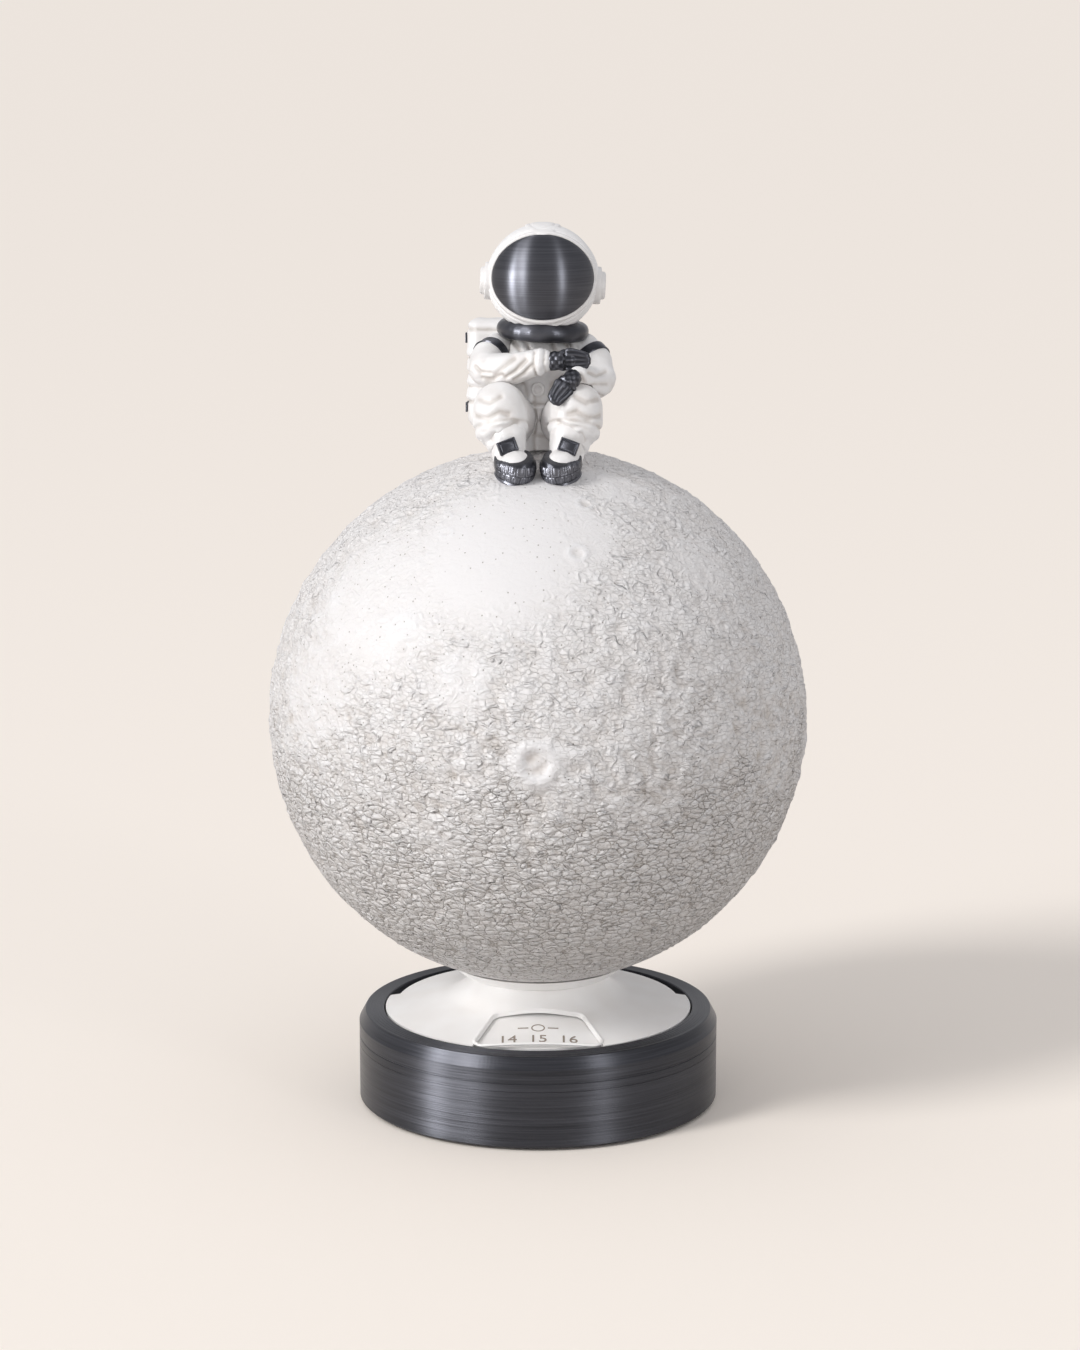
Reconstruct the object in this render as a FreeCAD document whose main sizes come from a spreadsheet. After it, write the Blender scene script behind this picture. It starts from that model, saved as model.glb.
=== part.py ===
import FreeCAD, Part
import math
import os
import re
import Sketcher
from FreeCAD import Placement, Rotation, Vector

# Moon lamp: a dark round base with a battery and a light column, a white turntable
# whose window shows one of eight phase labels, and a hollow moon that lifts off it.
# Millimetres, +Z up, origin on the table under the middle of the base, front is -Y.

os.makedirs("parts", exist_ok=True)
doc = FreeCAD.newDocument("MoonLamp")

# ---------------------------------------------------------------- driving dimensions
SIZES = {
    # base
    "base_r": 50.7, "base_wall": 2.4, "cup_height": 15.9, "cup_chamfer": 0.5,
    "foot_height": 0.8, "foot_recess": 0.5, "foot_r": 5.0, "foot_inset": 13.7,
    "foot_rounding": 0.3, "floor_thick": 1.8, "ledge_width": 5.8, "ledge_thick": 3.0,
    "slip_gap": 0.15, "touch_gap": 0.02,
    "bezel_height": 9.8, "bezel_crest_inset": 4.6, "bezel_brow_inset": 1.9,
    "bezel_brow_drop": 0.3,
    "bezel_chamfer_drop": 3.5, "bezel_width": 7.0, "bezel_spigot_thick": 1.35,
    "bezel_spigot_height": 3.0,
    # deck and spindle
    "deck_drop": 4.6, "deck_thick": 1.6, "deck_gap": 0.2, "spindle_r": 12.0,
    "spindle_over_neck": 2.2, "shoulder_r": 16.0, "shoulder_height": 4.3, "washer_thick": 0.8,
    "clip_thick": 0.8, "clip_depth": 0.75, "clip_width": 3.0, "clip_slack": 0.1,
    "clip_mouth": 5.0,
    # turntable
    "plate_running_gap": 0.5, "rear_step": 2.9, "rear_step_angle": 12.0, "plate_slope": 12.0,
    "plate_thick": 1.1, "dial_gap": 0.3, "flare_r": 26.2, "flare_arc_r": 10.15,
    "neck_r": 19.0, "flare_rise": 5.89, "neck_under_step": 0.5, "flange_thick": 3.0,
    "sleeve_r": 14.0,
    "bearing_gap": 0.06, "window_outer_half": 18.0, "window_inner_half": 12.0,
    "window_depth": 22.2, "window_corner": 2.5,
    "dial_inset": 3.2, "dial_hub_r": 17.0, "dial_hub_width": 7.0, "dial_sheet": 1.8,
    "dial_skirt": 1.6, "window_rim": 3.9,
    # collar
    "collar_floor_r": 15.8, "collar_floor": 1.6, "collar_height": 3.7, "collar_r": 24.5,
    "collar_bore_r": 19.6, "spigot_wall": 1.6, "spigot_height": 6.3, "collar_arc_r": 9.0,
    # screws
    "screw_r": 1.2, "screw_gap": 0.05, "screw_head_r": 2.1, "screw_head": 1.3,
    "drive_r": 0.8, "drive_depth": 0.6,
    "bottom_screw_length": 4.2, "bottom_screw_inset": 3.3, "deck_screw_length": 4.6,
    "deck_screw_inset": 3.1, "dial_screw_length": 5.5,
    "collar_screw_length": 4.0, "small_screw_r": 0.8,
    "small_head_r": 1.45, "small_head": 1.0,
    # light column
    "column_r": 7.0, "column_wall": 1.6, "column_height": 126.0, "column_flat": 1.0,
    "column_pin_gap": 0.04, "strip_width": 6.0, "strip_thick": 0.9, "strip_end_gap": 1.4,
    "chip_size": 2.8, "chip_thick": 0.8, "chip_count": 9,
    "cover_r": 9.6, "cover_wall": 0.9, "bracket_thick": 1.6, "bracket_ring_r": 10.6,
    "bracket_low": 28.0, "bracket_top_room": 5.0, "shade_r": 12.0, "shade_wall": 0.9,
    "shade_tail": 2.0, "cap_r": 8.4, "cap_thick": 2.4, "cap_plug": 4.0,
    # electronics in the base
    "battery_x": 44.0, "battery_y": 28.0, "battery_z": 8.0, "tray_room": 0.9,
    "battery_rounding": 1.6, "tray_wall": 1.2, "tray_floor": 0.8, "tray_height": 5.0,
    "tray_gap": 0.2,
    "board_x": 44.0, "board_y": 21.0, "board_thick": 1.6, "board_rear_gap": 8.8,
    "board_lift": 3.4, "tongue_left": 8.0, "tongue_right": 20.0, "tongue_y": 6.5,
    "lip_y": 3.9, "lip_side": 1.0,
    "pillar_r": 2.4, "pillar_inset": 3.4, "board_screw_length": 3.6,
    "usb_width": 8.9, "usb_tall": 3.2, "usb_wall": 0.35, "usb_inset": 1.1, "usb_length": 8.2,
    "usb_tongue_thick": 0.7, "usb_hole_gap": 0.3,
    "chip_block_x": 7.0, "chip_block_y": 7.0, "chip_block_z": 1.2,
    "coil_r": 3.4, "coil_height": 3.0,
    "button_r": 3.0, "button_gap": 0.2, "button_turn": 22.0, "button_above_board": 2.0,
    "button_proud": 0.6, "button_flange_r": 3.8,
    "button_flange": 1.4, "button_flange_back": 2.3, "button_stem_r": 2.0, "button_stem": 2.6,
    "button_dish": 0.25, "plunger_r": 1.4, "plunger_length": 2.4, "switch_width": 6.0,
    "switch_deep": 3.6, "switch_tall": 5.4, "switch_bore_gap": 0.2, "switch_bore": 1.6,
    "switch_overlap": 0.5, "lead_r": 0.65, "lead_lift": 1.6, "lead_setback": 4.0,
    "lead_entry": 2.6, "battery_lead_arch": 2.2, "battery_lead_bend": 1.8,
    "column_lead_x": 4.0, "column_lead_y": 1.2, "column_lead_arch": 3.6,
    "column_lead_bend": 3.0,
    # moon
    "moon_r": 75.5, "moon_wall": 1.8, "cap_up": 39.4, "mouth_edge_r": 26.49, "mouth_gap": 0.2,
    "mouth_slip": 0.3,
    "mouth_ring_over": 0.5, "mouth_ring": 3.0, "peg_r": 2.4, "peg_gap": 0.05, "peg_length": 8.0,
    "peg_in_moon": 1.6, "figure_gap": 0.02,
    # seated figure, heights measured up from the top of the moon
    "helmet_r": 14.9, "helmet_up": 45.9, "helmet_x": 1.3, "helmet_y": -1.5,
    "helmet_wall": 1.6, "visor_half_x": 13.6, "visor_half_z": 11.3, "visor_front": 0.5,
    "visor_thick": 1.6, "visor_rim_width": 1.7, "visor_rim_proud": 0.8, "visor_gap": 0.1,
    "ear_r": 5.2, "ear_inner_r": 3.5, "ear_proud": 2.6, "ear_step": 0.8, "ear_y": -1.0,
    "pad_x": 9.6, "pad_y": 17.0, "pad_proud": 0.7,
    "neck_ring_r": 9.9, "neck_ring_tube": 2.7, "neck_ring_up": 32.1, "neck_ring_tilt": 3.0,
    "torso_half_x": 13.0, "torso_half_y": 10.0, "torso_y": 2.0, "torso_up": 30.6,
    "button_chest_r": 2.3, "button_chest_up": 16.6, "button_chest_proud": 0.7,
    "pack_x": 30.0, "pack_y": 9.0, "pack_tall": 31.0, "pack_up": 2.6, "pack_shift": -5.4,
    "pack_turn": -9.0, "pack_rounding": 3.6, "pack_back": 17.0, "strap_height": 2.9,
    "strap_proud": 0.5, "strap_low": 4.6, "strap_high": 24.0,
    "shoulder_x": 13.4, "shoulder_up": 27.0, "arm_r": 4.9, "elbow_r": 4.9, "wrist_r": 3.5,
    "glove_r": 2.9, "finger_r": 1.9,
    "band_width": 2.4, "band_proud": 0.45,
    "hip_x": 7.0, "hip_up": 7.4, "knee_x": 10.2, "knee_y": -15.0, "knee_up": 12.6,
    "knee_r": 7.3, "thigh_r": 7.2, "ankle_x": 8.8, "ankle_y": -17.6, "ankle_up": 4.4,
    "ankle_r": 6.0,
    "boot_x": 6.4, "boot_y": -22.0, "boot_up": -0.4, "boot_half_x": 5.7, "boot_half_y": 8.2,
    "boot_half_z": 6.2, "boot_toe_in": 24.0, "boot_pitch": 19.0, "sole_drop": 0.6,
    "toe_cap": 2.4, "toe_depth": 5.0, "shin_plate_x": 5.2, "shin_plate_z": 3.8, "shin_plate_thick": 1.2,
}

sheet = doc.addObject("Spreadsheet::Sheet", "Sizes")
for row, (alias, value) in enumerate(SIZES.items(), start=1):
    sheet.set(f"A{row}", alias)
    sheet.set(f"B{row}", str(value))
    sheet.setAlias(f"B{row}", alias)
doc.recompute()

nodes = {}


# ---------------------------------------------------------------- working helpers
def bound(expression):
    """A formula in the plain names of the sheet, with each name made a reference to it."""
    return re.sub(r"[a-z_]+\b", lambda m: f"Sizes.{m.group()}" if m.group() in SIZES else m.group(),
                  expression)


def size(expression):
    """The number that a formula gives now."""
    return float(sheet.evalExpression(expression))


def named(part, label):
    """Register a finished sub-part under its own name."""
    part.Label = label
    nodes[label] = part
    return part


def place(part, at=("0", "0", "0"), axis=(0, 0, 1), turn=None):
    """Bind a part's place, and its turn about one axis, to the sheet."""
    part.Placement = Placement(Vector(), Rotation(Vector(*axis), 1.0 if turn else 0.0))
    for letter, formula in zip("xyz", at):
        part.setExpression(f"Placement.Base.{letter}", bound(formula))
    if turn:
        part.setExpression("Placement.Rotation.Angle", bound(turn))
    return part


def primitive(kind, name, at=("0", "0", "0"), axis=(0, 0, 1), turn=None, **lengths):
    """One of the Part primitives, its sizes and place given as formulas."""
    part = doc.addObject("Part::" + kind, name)
    for length, formula in lengths.items():
        part.setExpression(length, bound(formula))
    return place(part, at, axis, turn)


def post(name, radius, height, at=("0", "0", "0")):
    return primitive("Cylinder", name, at, Radius=radius, Height=height)


def block(name, x, y, z, at):
    """A box that is centred on X and starts at its given y and z."""
    return primitive("Box", name, (f"{at[0]}-({x})/2", at[1], at[2]), Length=x, Width=y, Height=z)


def less(name, base, *tools):
    part = doc.addObject("Part::Cut", name)
    part.Base = base
    part.Tool = tools[0] if len(tools) == 1 else joined(name + "_tools", *tools)
    return part


def joined(name, *parts):
    part = doc.addObject("Part::MultiFuse", name)
    part.Shapes = list(parts)
    return part


def shared(name, *parts):
    part = doc.addObject("Part::MultiCommon", name)
    part.Shapes = list(parts)
    return part


def group(name, parts):
    part = doc.addObject("Part::Compound", name)
    part.Links = parts
    return part


def ring_places(count, radius, start=0.0):
    """Formulas for equally spaced places on a circle."""
    return [(f"({radius})*cos({start + 360.0 * i / count})",
             f"({radius})*sin({start + 360.0 * i / count})") for i in range(count)]


def outline(body, name, plane, points):
    """A closed sketch through formulas (x, y), with an arc of a radius where a third item is given.

    A positive radius turns left on the way to the next point and a negative one turns right.
    """
    sketch = body.newObject("Sketcher::SketchObject", name)
    support = [item for item in body.Origin.OriginFeatures if item.Role == plane][0]
    sketch.AttachmentSupport = [(support, "")]
    sketch.MapMode = "FlatFace"
    spots = [Vector(size(point[0]), size(point[1]), 0) for point in points]
    first_end = []
    for index, point in enumerate(points):
        here = spots[index]
        there = spots[(index + 1) % len(spots)]
        if len(point) == 2:
            sketch.addGeometry(Part.LineSegment(here, there), False)
            first_end.append(1)
            continue
        radius = abs(size(point[2]))
        left = point[2][0] != "-"
        half = (there - here) * 0.5
        rise = math.sqrt(max(radius ** 2 - half.Length ** 2, 0.0))
        side = Vector(-half.y, half.x, 0).normalize() * (rise if left else -rise)
        centre = here + half + side
        start, end = (here, there) if left else (there, here)
        angles = [math.atan2(spot.y - centre.y, spot.x - centre.x) for spot in (start, end)]
        circle = Part.Circle(centre, Vector(0, 0, 1), radius)
        sketch.addGeometry(Part.ArcOfCircle(circle, *angles), False)
        first_end.append(1 if left else 2)
    for index in range(len(points)):
        after = (index + 1) % len(points)
        sketch.addConstraint(Sketcher.Constraint(
            "Coincident", index, 3 - first_end[index], after, first_end[after]))
    for index, point in enumerate(points):
        for kind, formula, value in (("DistanceX", point[0], spots[index].x),
                                     ("DistanceY", point[1], spots[index].y)):
            number = sketch.addConstraint(Sketcher.Constraint(
                kind, -1, 1, index, first_end[index], value))
            sketch.setExpression(f"Constraints[{number}]", bound(formula))
        if len(point) == 3:
            number = sketch.addConstraint(Sketcher.Constraint(
                "Radius", index, abs(size(point[2]))))
            sketch.setExpression(f"Constraints[{number}]", bound(point[2].lstrip("-")))
    return sketch


def turned(name, points, plane="XZ_Plane"):
    """A body of revolution about its sketch's upright axis."""
    body = doc.addObject("PartDesign::Body", name)
    sketch = outline(body, name + "_profile", plane, points)
    revolution = body.newObject("PartDesign::Revolution", name + "_turned")
    revolution.Profile = sketch
    revolution.ReferenceAxis = (sketch, ["V_Axis"])
    revolution.Angle = 360.0
    doc.recompute()
    return body


def prism(name, points, low, high):
    """An upright prism between two heights."""
    body = doc.addObject("PartDesign::Body", name)
    sketch = outline(body, name + "_outline", "XY_Plane", points)
    pad = body.newObject("PartDesign::Pad", name + "_pad")
    pad.Profile = sketch
    pad.setExpression("Length", bound(f"({high})-({low})"))
    place(body, ("0", "0", low))
    doc.recompute()
    return body


def screws(label, places, seat, length, up, radius="screw_r", head_r="screw_head_r",
           head="screw_head"):
    """Pan-head screws at places (x, y); up says that the shank points up from the seat."""
    made = []
    for number, (x, y) in enumerate(places):
        name = f"{label}_{number}"
        shank_low = seat if up else f"({seat})-({length})"
        head_low = f"({seat})-({head})" if up else seat
        drive_low = head_low if up else f"({seat})+({head})-drive_depth"
        shank = post(name + "_shank", radius, length, (x, y, shank_low))
        cap = post(name + "_head", head_r, head, (x, y, head_low))
        drive = post(name + "_drive", "drive_r", "drive_depth", (x, y, drive_low))
        made.append(less(name, joined(name + "_blank", shank, cap), drive))
    return named(group(label + "_set", made), label)


def screw_holes(name, places, low, height, radius="screw_r+screw_gap"):
    return [post(f"{name}_{i}", radius, height, (x, y, low)) for i, (x, y) in enumerate(places)]


def solid_of(label, shape):
    """A sub-part whose shape comes from lofts or cuts that no feature object makes."""
    part = doc.addObject("Part::Feature", label + "_form")
    part.Shape = shape
    part.Placement = Placement()
    return named(part, label)


# ---------------------------------------------------------------- heights that many parts share
CUP_TOP = "foot_height+cup_height"
FLOOR_TOP = "foot_height+floor_thick"
RIM = f"{CUP_TOP}+bezel_height"
DECK_TOP = f"{RIM}-deck_drop"
DECK_LOW = f"{DECK_TOP}-deck_thick"
WASHER_LOW = f"{DECK_TOP}+shoulder_height"
SLEEVE_LOW = f"{WASHER_LOW}+washer_thick"
INNER_R = "base_r-base_wall"
WELL_R = "base_r-bezel_width"
PLATE_R = f"{WELL_R}-plate_running_gap"
REAR_R = f"{PLATE_R}-rear_step"
DIAL_R = f"{PLATE_R}-dial_inset"
SPIGOT_R = f"{INNER_R}-slip_gap-bezel_spigot_thick"
NECK_TOP = f"{RIM}+({PLATE_R}-flare_r)*tan(plate_slope)+flare_rise"
SEAT = f"{NECK_TOP}+collar_height"
MOUTH = f"{SEAT}+mouth_gap"
MOON_Z = f"{MOUTH}+sqrt(moon_r^2-mouth_edge_r^2)"
MOON_TOP = f"{MOON_Z}+moon_r"
BRACKET_HIGH = "column_height-bracket_top_room"
STRIP_LOW = "bracket_low+bracket_thick+strip_end_gap"
STRIP_LENGTH = f"{BRACKET_HIGH}-({STRIP_LOW})"
BOARD_FRONT = f"{INNER_R}-board_rear_gap-tongue_y-board_y"
TRAY_HALF_X = "(battery_x/2+tray_gap+tray_wall)"
BATTERY_FRONT = (f"(sqrt(({INNER_R}-ledge_width-tray_room)^2-{TRAY_HALF_X}^2)"
                 "-tray_gap-tray_wall)")
BOARD_LOW = f"{FLOOR_TOP}+board_lift"
BOARD_TOP = f"{BOARD_LOW}+board_thick"
BUTTON_Z = f"{BOARD_TOP}+button_above_board"

BOTTOM_SCREWS = ring_places(4, f"{INNER_R}-bottom_screw_inset", 45.0)
FEET = ring_places(4, "base_r-foot_inset", 0.0)
DECK_SCREWS = ring_places(4, f"{INNER_R}-deck_screw_inset", 45.0)
DIAL_SCREWS = ring_places(3, "dial_hub_r+dial_hub_width/2", 30.0)
COLLAR_SCREWS = ring_places(3, "(collar_floor_r+neck_r)/2", 30.0)


def cone_height(radius, drop="0"):
    """Height of the plate's cone at a radius, less a drop."""
    return f"{RIM}+({PLATE_R}-({radius}))*tan(plate_slope)-({drop})"


# ---------------------------------------------------------------- base
def base_cup():
    """Side wall of the base, with the ledge that its floor is screwed to."""
    body = turned("cup_wall", [
        ("base_r-cup_chamfer", "foot_height"),
        ("base_r", "foot_height+cup_chamfer"),
        ("base_r", CUP_TOP),
        (INNER_R, CUP_TOP),
        (INNER_R, f"{FLOOR_TOP}+ledge_thick"),
        (f"{INNER_R}-ledge_width", f"{FLOOR_TOP}+ledge_thick"),
        (f"{INNER_R}-ledge_width", FLOOR_TOP),
        (INNER_R, FLOOR_TOP),
        (INNER_R, "foot_height"),
    ])
    tools = screw_holes("cup_screw_hole", BOTTOM_SCREWS, FLOOR_TOP, "ledge_thick")
    tools.append(usb_prism("cup_usb_hole", "usb_hole_gap", f"{INNER_R}-1", "base_wall+2"))
    hole = turned("cup_button_hole", [
        ("0", f"{INNER_R}-1"), ("button_r+button_gap", f"{INNER_R}-1"),
        ("button_r+button_gap", "base_r+1"), ("0", "base_r+1")], plane="XY_Plane")
    place(hole, ("0", "0", BUTTON_Z), turn="-button_turn")
    named(less("cup", body, *tools, hole), "base_cup")


def usb_prism(name, gap, start, length):
    """The rounded slot shape of the charging socket, lying along +Y."""
    tall = f"usb_tall+2*({gap})"
    middle = f"{BOARD_TOP}+usb_tall/2"
    flat = block(name + "_flat", "usb_width-usb_tall", length, tall,
                 ("0", start, f"{middle}-({tall})/2"))
    ends = []
    for side in (-1, 1):
        end = primitive("Cylinder", f"{name}_end_{side + 1}",
                        (f"{side}*(usb_width-usb_tall)/2", start, middle), axis=(1, 0, 0),
                        turn="-90", Radius=f"({tall})/2", Height=length)
        ends.append(end)
    return joined(name, flat, *ends)


def bezel_ring():
    """Top ring: chamfered brow, nearly flat top and the well that the turntable sits in."""
    body = turned("bezel", [
        ("base_r", CUP_TOP),
        ("base_r", f"{RIM}-bezel_chamfer_drop"),
        ("base_r-bezel_brow_inset", f"{RIM}-bezel_brow_drop"),
        ("base_r-bezel_crest_inset", RIM),
        (WELL_R, RIM),
        (WELL_R, DECK_TOP),
        (SPIGOT_R, DECK_TOP),
        (SPIGOT_R, f"{CUP_TOP}-bezel_spigot_height"),
        (f"{INNER_R}-slip_gap", f"{CUP_TOP}-bezel_spigot_height"),
        (f"{INNER_R}-slip_gap", CUP_TOP),
    ])
    holes = screw_holes("bezel_pilot", DECK_SCREWS, DECK_TOP, "deck_screw_length-deck_thick+0.5",
                        "small_screw_r+screw_gap")
    named(less("bezel_drilled", body, *holes), "bezel_ring")


def bottom_plate():
    """Floor of the base, with shallow pockets for the feet and for the screw heads."""
    disc = post("floor_disc", f"{INNER_R}-slip_gap", "floor_thick", ("0", "0", "foot_height"))
    feet = screw_holes("foot_pocket", FEET, "foot_height", "foot_recess", "foot_r+slip_gap")
    heads = screw_holes("floor_head_pocket", BOTTOM_SCREWS, "foot_height", "screw_head",
                        "screw_head_r+slip_gap")
    shanks = screw_holes("floor_shank_hole", BOTTOM_SCREWS, "foot_height", "floor_thick")
    named(less("floor_cut", disc, *feet, *heads, *shanks), "bottom_plate")
    screws("bottom_screws", BOTTOM_SCREWS, "foot_height+screw_head", "bottom_screw_length-0.5",
           up=True)


def rubber_feet():
    made = []
    for number, (x, y) in enumerate(FEET):
        foot = turned(f"foot_{number}", [
            ("0", "0"), ("foot_r-foot_rounding", "0"), ("foot_r", "foot_rounding"),
            ("foot_r", "foot_height+foot_recess"), ("0", "foot_height+foot_recess")])
        made.append(place(foot, (x, y, "0")))
    named(group("feet", made), "rubber_feet")


def deck_plate():
    """Disc that carries the dial and, on its spindle, the turntable and the light column."""
    groove_low = f"{NECK_TOP}+clip_slack"
    body = turned("deck", [
        ("column_r-column_wall", DECK_LOW),
        (f"{SPIGOT_R}-deck_gap", DECK_LOW),
        (f"{SPIGOT_R}-deck_gap", DECK_TOP),
        ("shoulder_r", DECK_TOP),
        ("shoulder_r", WASHER_LOW),
        ("spindle_r", WASHER_LOW),
        ("spindle_r", groove_low),
        ("spindle_r-clip_depth", groove_low),
        ("spindle_r-clip_depth", f"{groove_low}+clip_thick+clip_slack"),
        ("spindle_r", f"{groove_low}+clip_thick+clip_slack"),
        ("spindle_r", f"{NECK_TOP}+spindle_over_neck"),
        ("column_r+column_pin_gap", f"{NECK_TOP}+spindle_over_neck"),
        ("column_r+column_pin_gap", DECK_TOP),
        ("column_r-column_wall", DECK_TOP),
    ])
    holes = screw_holes("deck_hole", DIAL_SCREWS, DECK_LOW, "deck_thick")
    rim_holes = screw_holes("deck_rim_hole", DECK_SCREWS, DECK_LOW, "deck_thick",
                            "small_screw_r+screw_gap")
    named(less("deck_drilled", body, *holes, *rim_holes), "deck_plate")
    screws("deck_screws", DECK_SCREWS, DECK_LOW, "deck_screw_length", up=True,
           radius="small_screw_r", head_r="small_head_r", head="small_head")


def phase_dial():
    """Fixed conical dial whose eight sectors carry the phase labels."""
    drop = "plate_thick+dial_gap"
    hub = "dial_hub_r+dial_hub_width"
    skirt = f"{DIAL_R}-dial_skirt"
    body = turned("dial", [
        (DIAL_R, DECK_TOP),
        (DIAL_R, cone_height(DIAL_R, drop)),
        ("dial_hub_r", cone_height("dial_hub_r", drop)),
        ("dial_hub_r", DECK_TOP),
        (hub, DECK_TOP),
        (hub, cone_height(hub, f"{drop}+dial_sheet")),
        (skirt, cone_height(skirt, f"{drop}+dial_sheet")),
        (skirt, DECK_TOP),
    ])
    holes = screw_holes("dial_pilot", DIAL_SCREWS, DECK_TOP, "dial_screw_length-deck_thick+0.5")
    named(less("dial_drilled", body, *holes), "phase_dial")
    screws("dial_screws", DIAL_SCREWS, DECK_LOW, "dial_screw_length", up=True)


def bearing_parts():
    """Washer under the turntable's sleeve and the spring clip above its flange."""
    ring = post("washer_blank", "shoulder_r", "washer_thick", ("0", "0", WASHER_LOW))
    hole = post("washer_hole", "spindle_r+slip_gap", "washer_thick", ("0", "0", WASHER_LOW))
    named(less("washer", ring, hole), "thrust_washer")
    low = f"{NECK_TOP}+1.5*clip_slack"
    inner = "spindle_r-clip_depth+touch_gap"
    clip = post("clip_blank", f"{inner}+clip_width", "clip_thick", ("0", "0", low))
    bore = post("clip_bore", inner, "clip_thick", ("0", "0", low))
    mouth = block("clip_gap", "clip_mouth", "spindle_r+clip_width", "clip_thick", ("0", "0", low))
    named(less("clip", clip, bore, mouth), "retaining_clip")


# ---------------------------------------------------------------- turntable
def cover_plate():
    """Shallow cone that flares up into the neck, with the label window cut through its rim."""
    body = turned("plate", [
        (PLATE_R, f"{RIM}-plate_thick"),
        (PLATE_R, RIM),
        ("flare_r", cone_height("flare_r"), "-flare_arc_r"),
        ("neck_r", NECK_TOP),
        ("spindle_r+bearing_gap", NECK_TOP),
        ("spindle_r+bearing_gap", SLEEVE_LOW),
        ("sleeve_r", SLEEVE_LOW),
        ("sleeve_r", f"{NECK_TOP}-flange_thick"),
        ("neck_r+neck_under_step", f"{NECK_TOP}-flange_thick", "flare_arc_r+plate_thick"),
        ("flare_r", cone_height("flare_r", "plate_thick")),
    ])
    label_reach = f"({PLATE_R}-window_rim)"
    slope = f"(window_outer_half-window_inner_half)/({label_reach}-window_depth)"
    reach = f"{PLATE_R}+2"
    wide = f"window_outer_half+({slope})*({reach}-{label_reach})"
    lean = f"atan({slope})"
    setback = f"window_corner*(1-sin({lean}))"
    edge_x = f"window_inner_half+({slope})*({setback})"
    corner_x = f"{edge_x}-window_corner*cos({lean})"
    sketch = outline(body, "window_outline", "XY_Plane", [
        (f"-({wide})", f"-({reach})"),
        (wide, f"-({reach})"),
        (edge_x, f"-(window_depth+({setback}))", "window_corner"),
        (corner_x, "-window_depth"),
        (f"-({corner_x})", "-window_depth", "window_corner"),
        (f"-({edge_x})", f"-(window_depth+({setback}))"),
    ])
    before = body.Shape.Volume
    cut_through(body, "window", sketch)
    rear = f"({REAR_R})*cos(rear_step_angle)", f"({REAR_R})*sin(rear_step_angle)"
    far = f"({reach})*cos(rear_step_angle)", f"({reach})*sin(rear_step_angle)"
    sketch = outline(body, "rear_outline", "XY_Plane", [
        (rear[0], rear[1], REAR_R),
        (f"-({rear[0]})", rear[1]),
        (f"-({far[0]})", far[1], f"-({reach})"),
        (far[0], far[1]),
    ])
    cut_through(body, "rear_relief", sketch)
    print("turntable plate lost to window and relief, mm3:", round(before - body.Shape.Volume, 1))
    pilots = screw_holes("plate_pilot", COLLAR_SCREWS, f"{NECK_TOP}-flange_thick",
                         "flange_thick", "small_screw_r+screw_gap")
    named(less("plate_drilled", body, *pilots), "cover_plate")


def cut_through(body, name, sketch):
    """Pocket a sketch on the table plane up and down through the whole body."""
    doc.recompute()
    pocket = body.newObject("PartDesign::Pocket", name)
    pocket.Profile = sketch
    pocket.Type = "ThroughAll"
    pocket.Midplane = True
    body.Tip = pocket
    doc.recompute()


def moon_collar():
    """Cup on the neck that the mouth of the moon sits in."""
    floor_top = f"{NECK_TOP}+collar_floor"
    body = turned("collar", [
        ("collar_floor_r", NECK_TOP),
        ("neck_r", NECK_TOP, "collar_arc_r"),
        ("collar_r", SEAT),
        ("collar_bore_r+spigot_wall", SEAT),
        ("collar_bore_r+spigot_wall", f"{SEAT}+spigot_height"),
        ("collar_bore_r", f"{SEAT}+spigot_height"),
        ("collar_bore_r", floor_top),
        ("collar_floor_r", floor_top),
    ])
    holes = screw_holes("collar_hole", COLLAR_SCREWS, NECK_TOP, "collar_floor",
                        "small_screw_r+screw_gap")
    named(less("collar_drilled", body, *holes), "moon_collar")
    screws("collar_screws", COLLAR_SCREWS, floor_top, "collar_screw_length", up=False,
           radius="small_screw_r", head_r="small_head_r", head="small_head")


# ---------------------------------------------------------------- light column
def light_column():
    """Tube that stands in the spindle, with a flat for the lamp strip, and its closing cap."""
    tube = post("column_tube", "column_r", "column_height", ("0", "0", DECK_TOP))
    bore = post("column_bore", "column_r-column_wall", "column_height", ("0", "0", DECK_TOP))
    flat = block("column_flat", "2*column_r", "column_flat+1", f"{STRIP_LENGTH}+2",
                 ("0", "-column_r-1", f"{DECK_TOP}+{STRIP_LOW}-1"))
    named(less("column", tube, bore, flat), "light_column")
    top = f"{DECK_TOP}+column_height"
    lid = post("cap_lid", "cap_r", "cap_thick", ("0", "0", top))
    plug = post("cap_plug", "column_r-column_wall-slip_gap", "cap_plug",
                ("0", "0", f"{top}-cap_plug"))
    named(joined("cap", lid, plug), "column_cap")


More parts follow.
